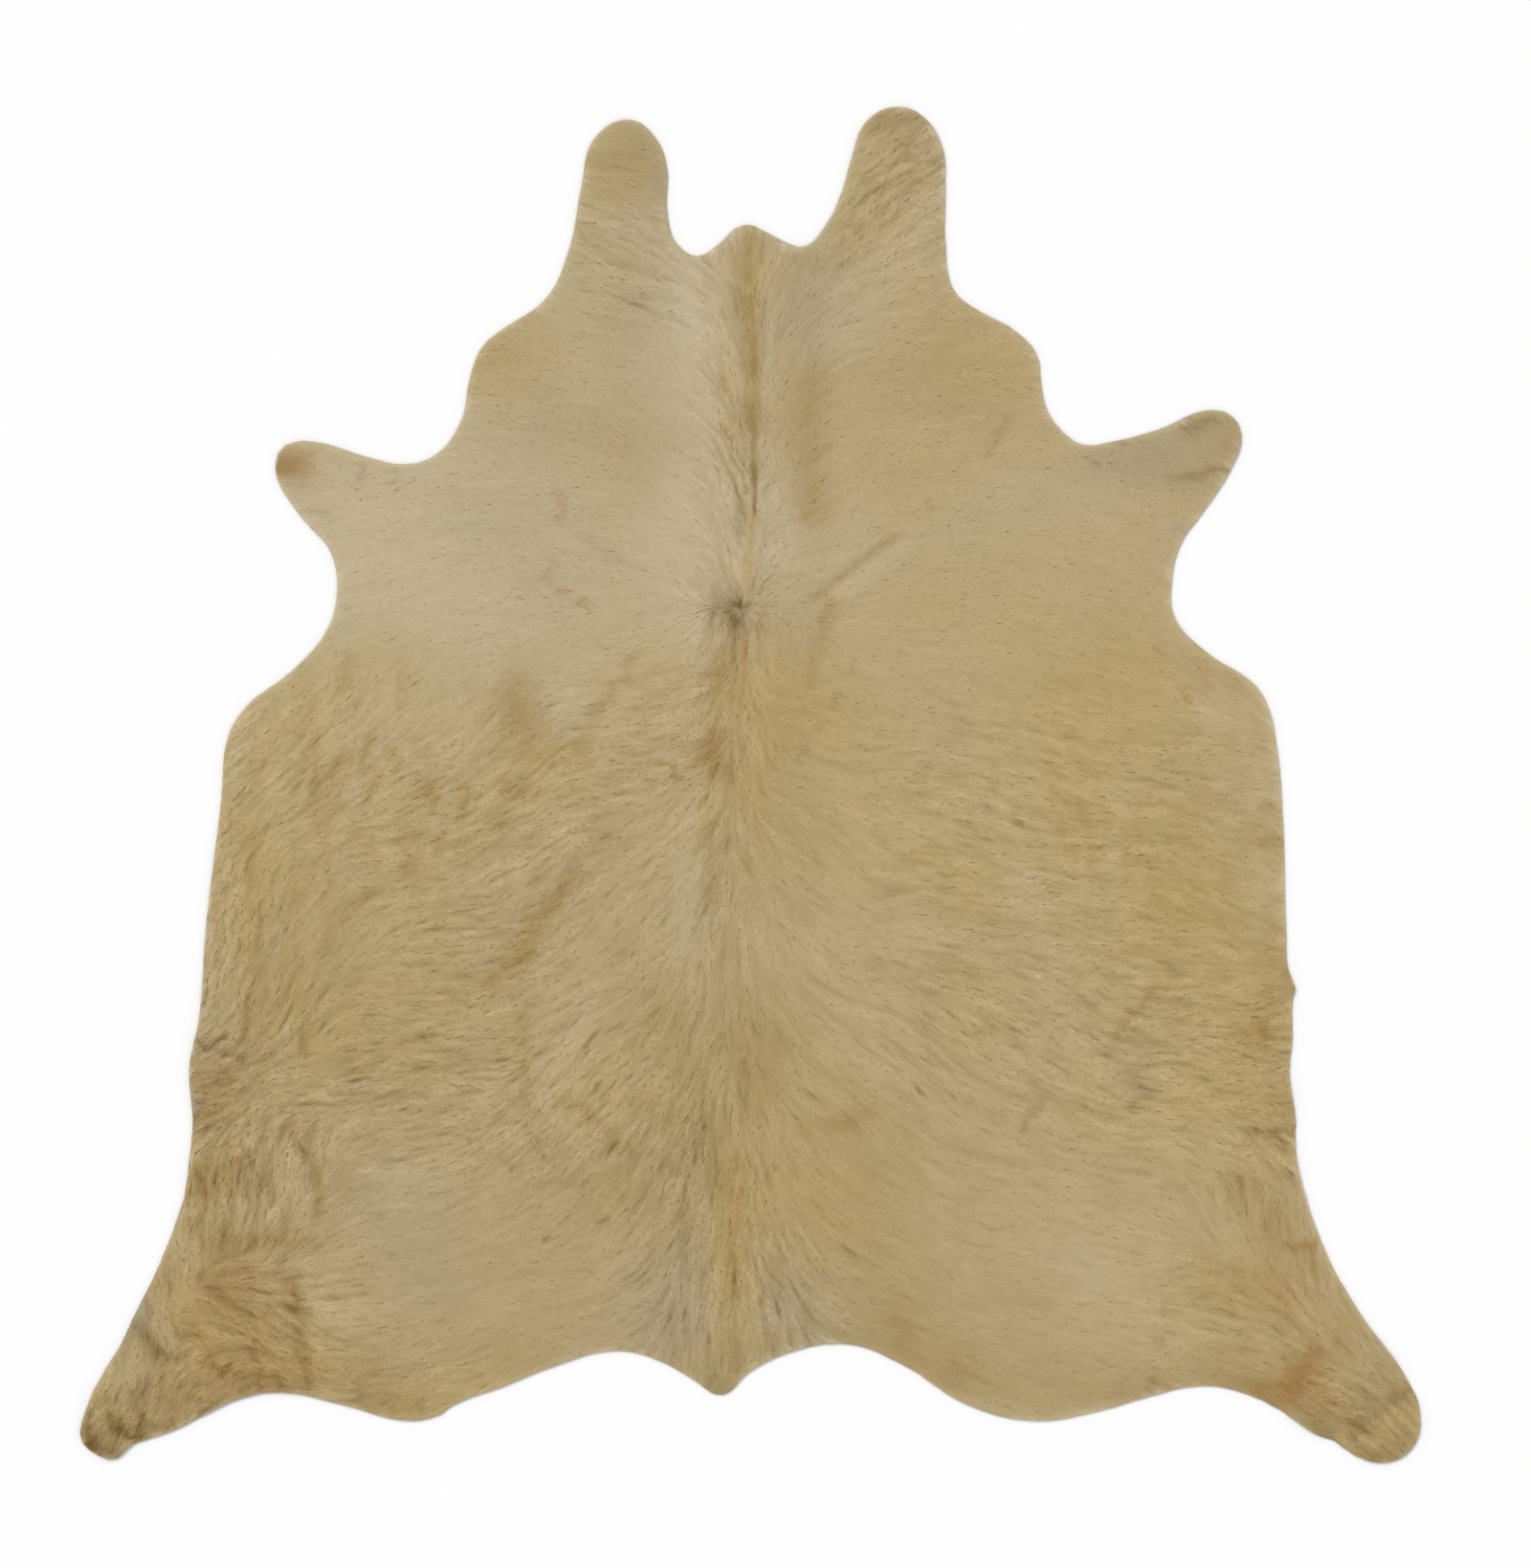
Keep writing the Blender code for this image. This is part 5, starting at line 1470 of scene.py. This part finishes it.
class COWHIDE_OT_stage(bpy.types.Operator):
    """Set the floor, the soft light and the camera straight above the hide"""

    bl_idname = "cowhide.stage"
    bl_label = "Stage"

    def execute(self, context):
        stage = context.scene.stage_settings
        self.add_floor(context, stage)
        self.add_light(context, stage)
        self.add_camera(context, stage)
        return {"FINISHED"}

    @staticmethod
    def add_floor(context, stage):
        """A wide plain floor just under the hide."""
        plane = bmesh.new()
        bmesh.ops.create_grid(plane, x_segments=1, y_segments=1, size=15.0)
        mesh = bpy.data.meshes.new("studio_floor")
        plane.to_mesh(mesh)
        plane.free()
        floor = bpy.data.objects.new("studio_floor", mesh)
        floor.location.z = -0.2 * MM
        material, _, shader = new_material("studio_floor")
        shader.inputs["Base Color"].default_value = stage.floor
        shader.inputs["Roughness"].default_value = 0.9
        shader.inputs["Specular IOR Level"].default_value = 0.0
        mesh.materials.append(material)
        context.scene.collection.objects.link(floor)

    @staticmethod
    def add_light(context, stage):
        """Even light from all round and a soft key light from one side."""
        world = bpy.data.worlds.new("studio_sky")
        world.use_nodes = True
        world.node_tree.nodes["Background"].inputs["Color"].default_value = (1.0, 1.0, 1.0, 1.0)
        world.node_tree.nodes["Background"].inputs["Strength"].default_value = stage.sky
        context.scene.world = world
        light = bpy.data.lights.new("studio_key", "SUN")
        light.energy = stage.sun
        light.angle = stage.sun_size
        key = bpy.data.objects.new("studio_key", light)
        tilt = math.pi / 2 - stage.sun_height
        key.rotation_euler = (0.0, tilt, stage.sun_heading)
        context.scene.collection.objects.link(key)

    @staticmethod
    def add_camera(context, stage):
        """The camera above the hide, with the picture's frame at the floor."""
        picture = (1600, 1639)
        lens = bpy.data.cameras.new("camera")
        lens.lens = stage.lens
        lens.sensor_width = 36.0
        lens.clip_end = 100.0
        long_side = stage.view_width * max(picture) / picture[0]
        camera = bpy.data.objects.new("camera", lens)
        camera.location = (
            stage.view_across, stage.view_along, long_side * stage.lens / lens.sensor_width)
        context.scene.collection.objects.link(camera)
        context.scene.camera = camera
        context.scene.view_settings.view_transform = "Standard"


class COWHIDE_PT_panel(bpy.types.Panel):
    """The hide's settings and steps"""

    bl_idname = "COWHIDE_PT_panel"
    bl_label = "Cowhide rug"
    bl_space_type = "VIEW_3D"
    bl_region_type = "UI"
    bl_category = "Cowhide"

    def draw(self, context):
        scene = context.scene
        for settings in (scene.hide_sizes, scene.coat_colours, scene.stage_settings):
            column = self.layout.column(align=True)
            for name in settings.__annotations__:
                column.prop(settings, name)
        for step in STEPS:
            self.layout.operator(step.bl_idname)


STEPS = (COWHIDE_OT_materials, COWHIDE_OT_hide_sheet, COWHIDE_OT_coat, COWHIDE_OT_stage)
CLASSES = (HideSizes, CoatColours, StageSettings, *STEPS, COWHIDE_PT_panel)
SETTINGS = {"hide_sizes": HideSizes, "coat_colours": CoatColours, "stage_settings": StageSettings}


def register():
    """Add the classes and the scene's settings."""
    for item in CLASSES:
        bpy.utils.register_class(item)
    for name, group in SETTINGS.items():
        setattr(bpy.types.Scene, name, PointerProperty(type=group))


def unregister():
    """Take the settings and the classes away again."""
    for name in SETTINGS:
        delattr(bpy.types.Scene, name)
    for item in reversed(CLASSES):
        bpy.utils.unregister_class(item)


def main():
    """Make every piece in order."""
    register()
    bpy.ops.cowhide.materials()
    bpy.ops.cowhide.hide_sheet()
    bpy.ops.cowhide.coat()
    bpy.ops.cowhide.stage()


if __name__ == "__main__":
    main()
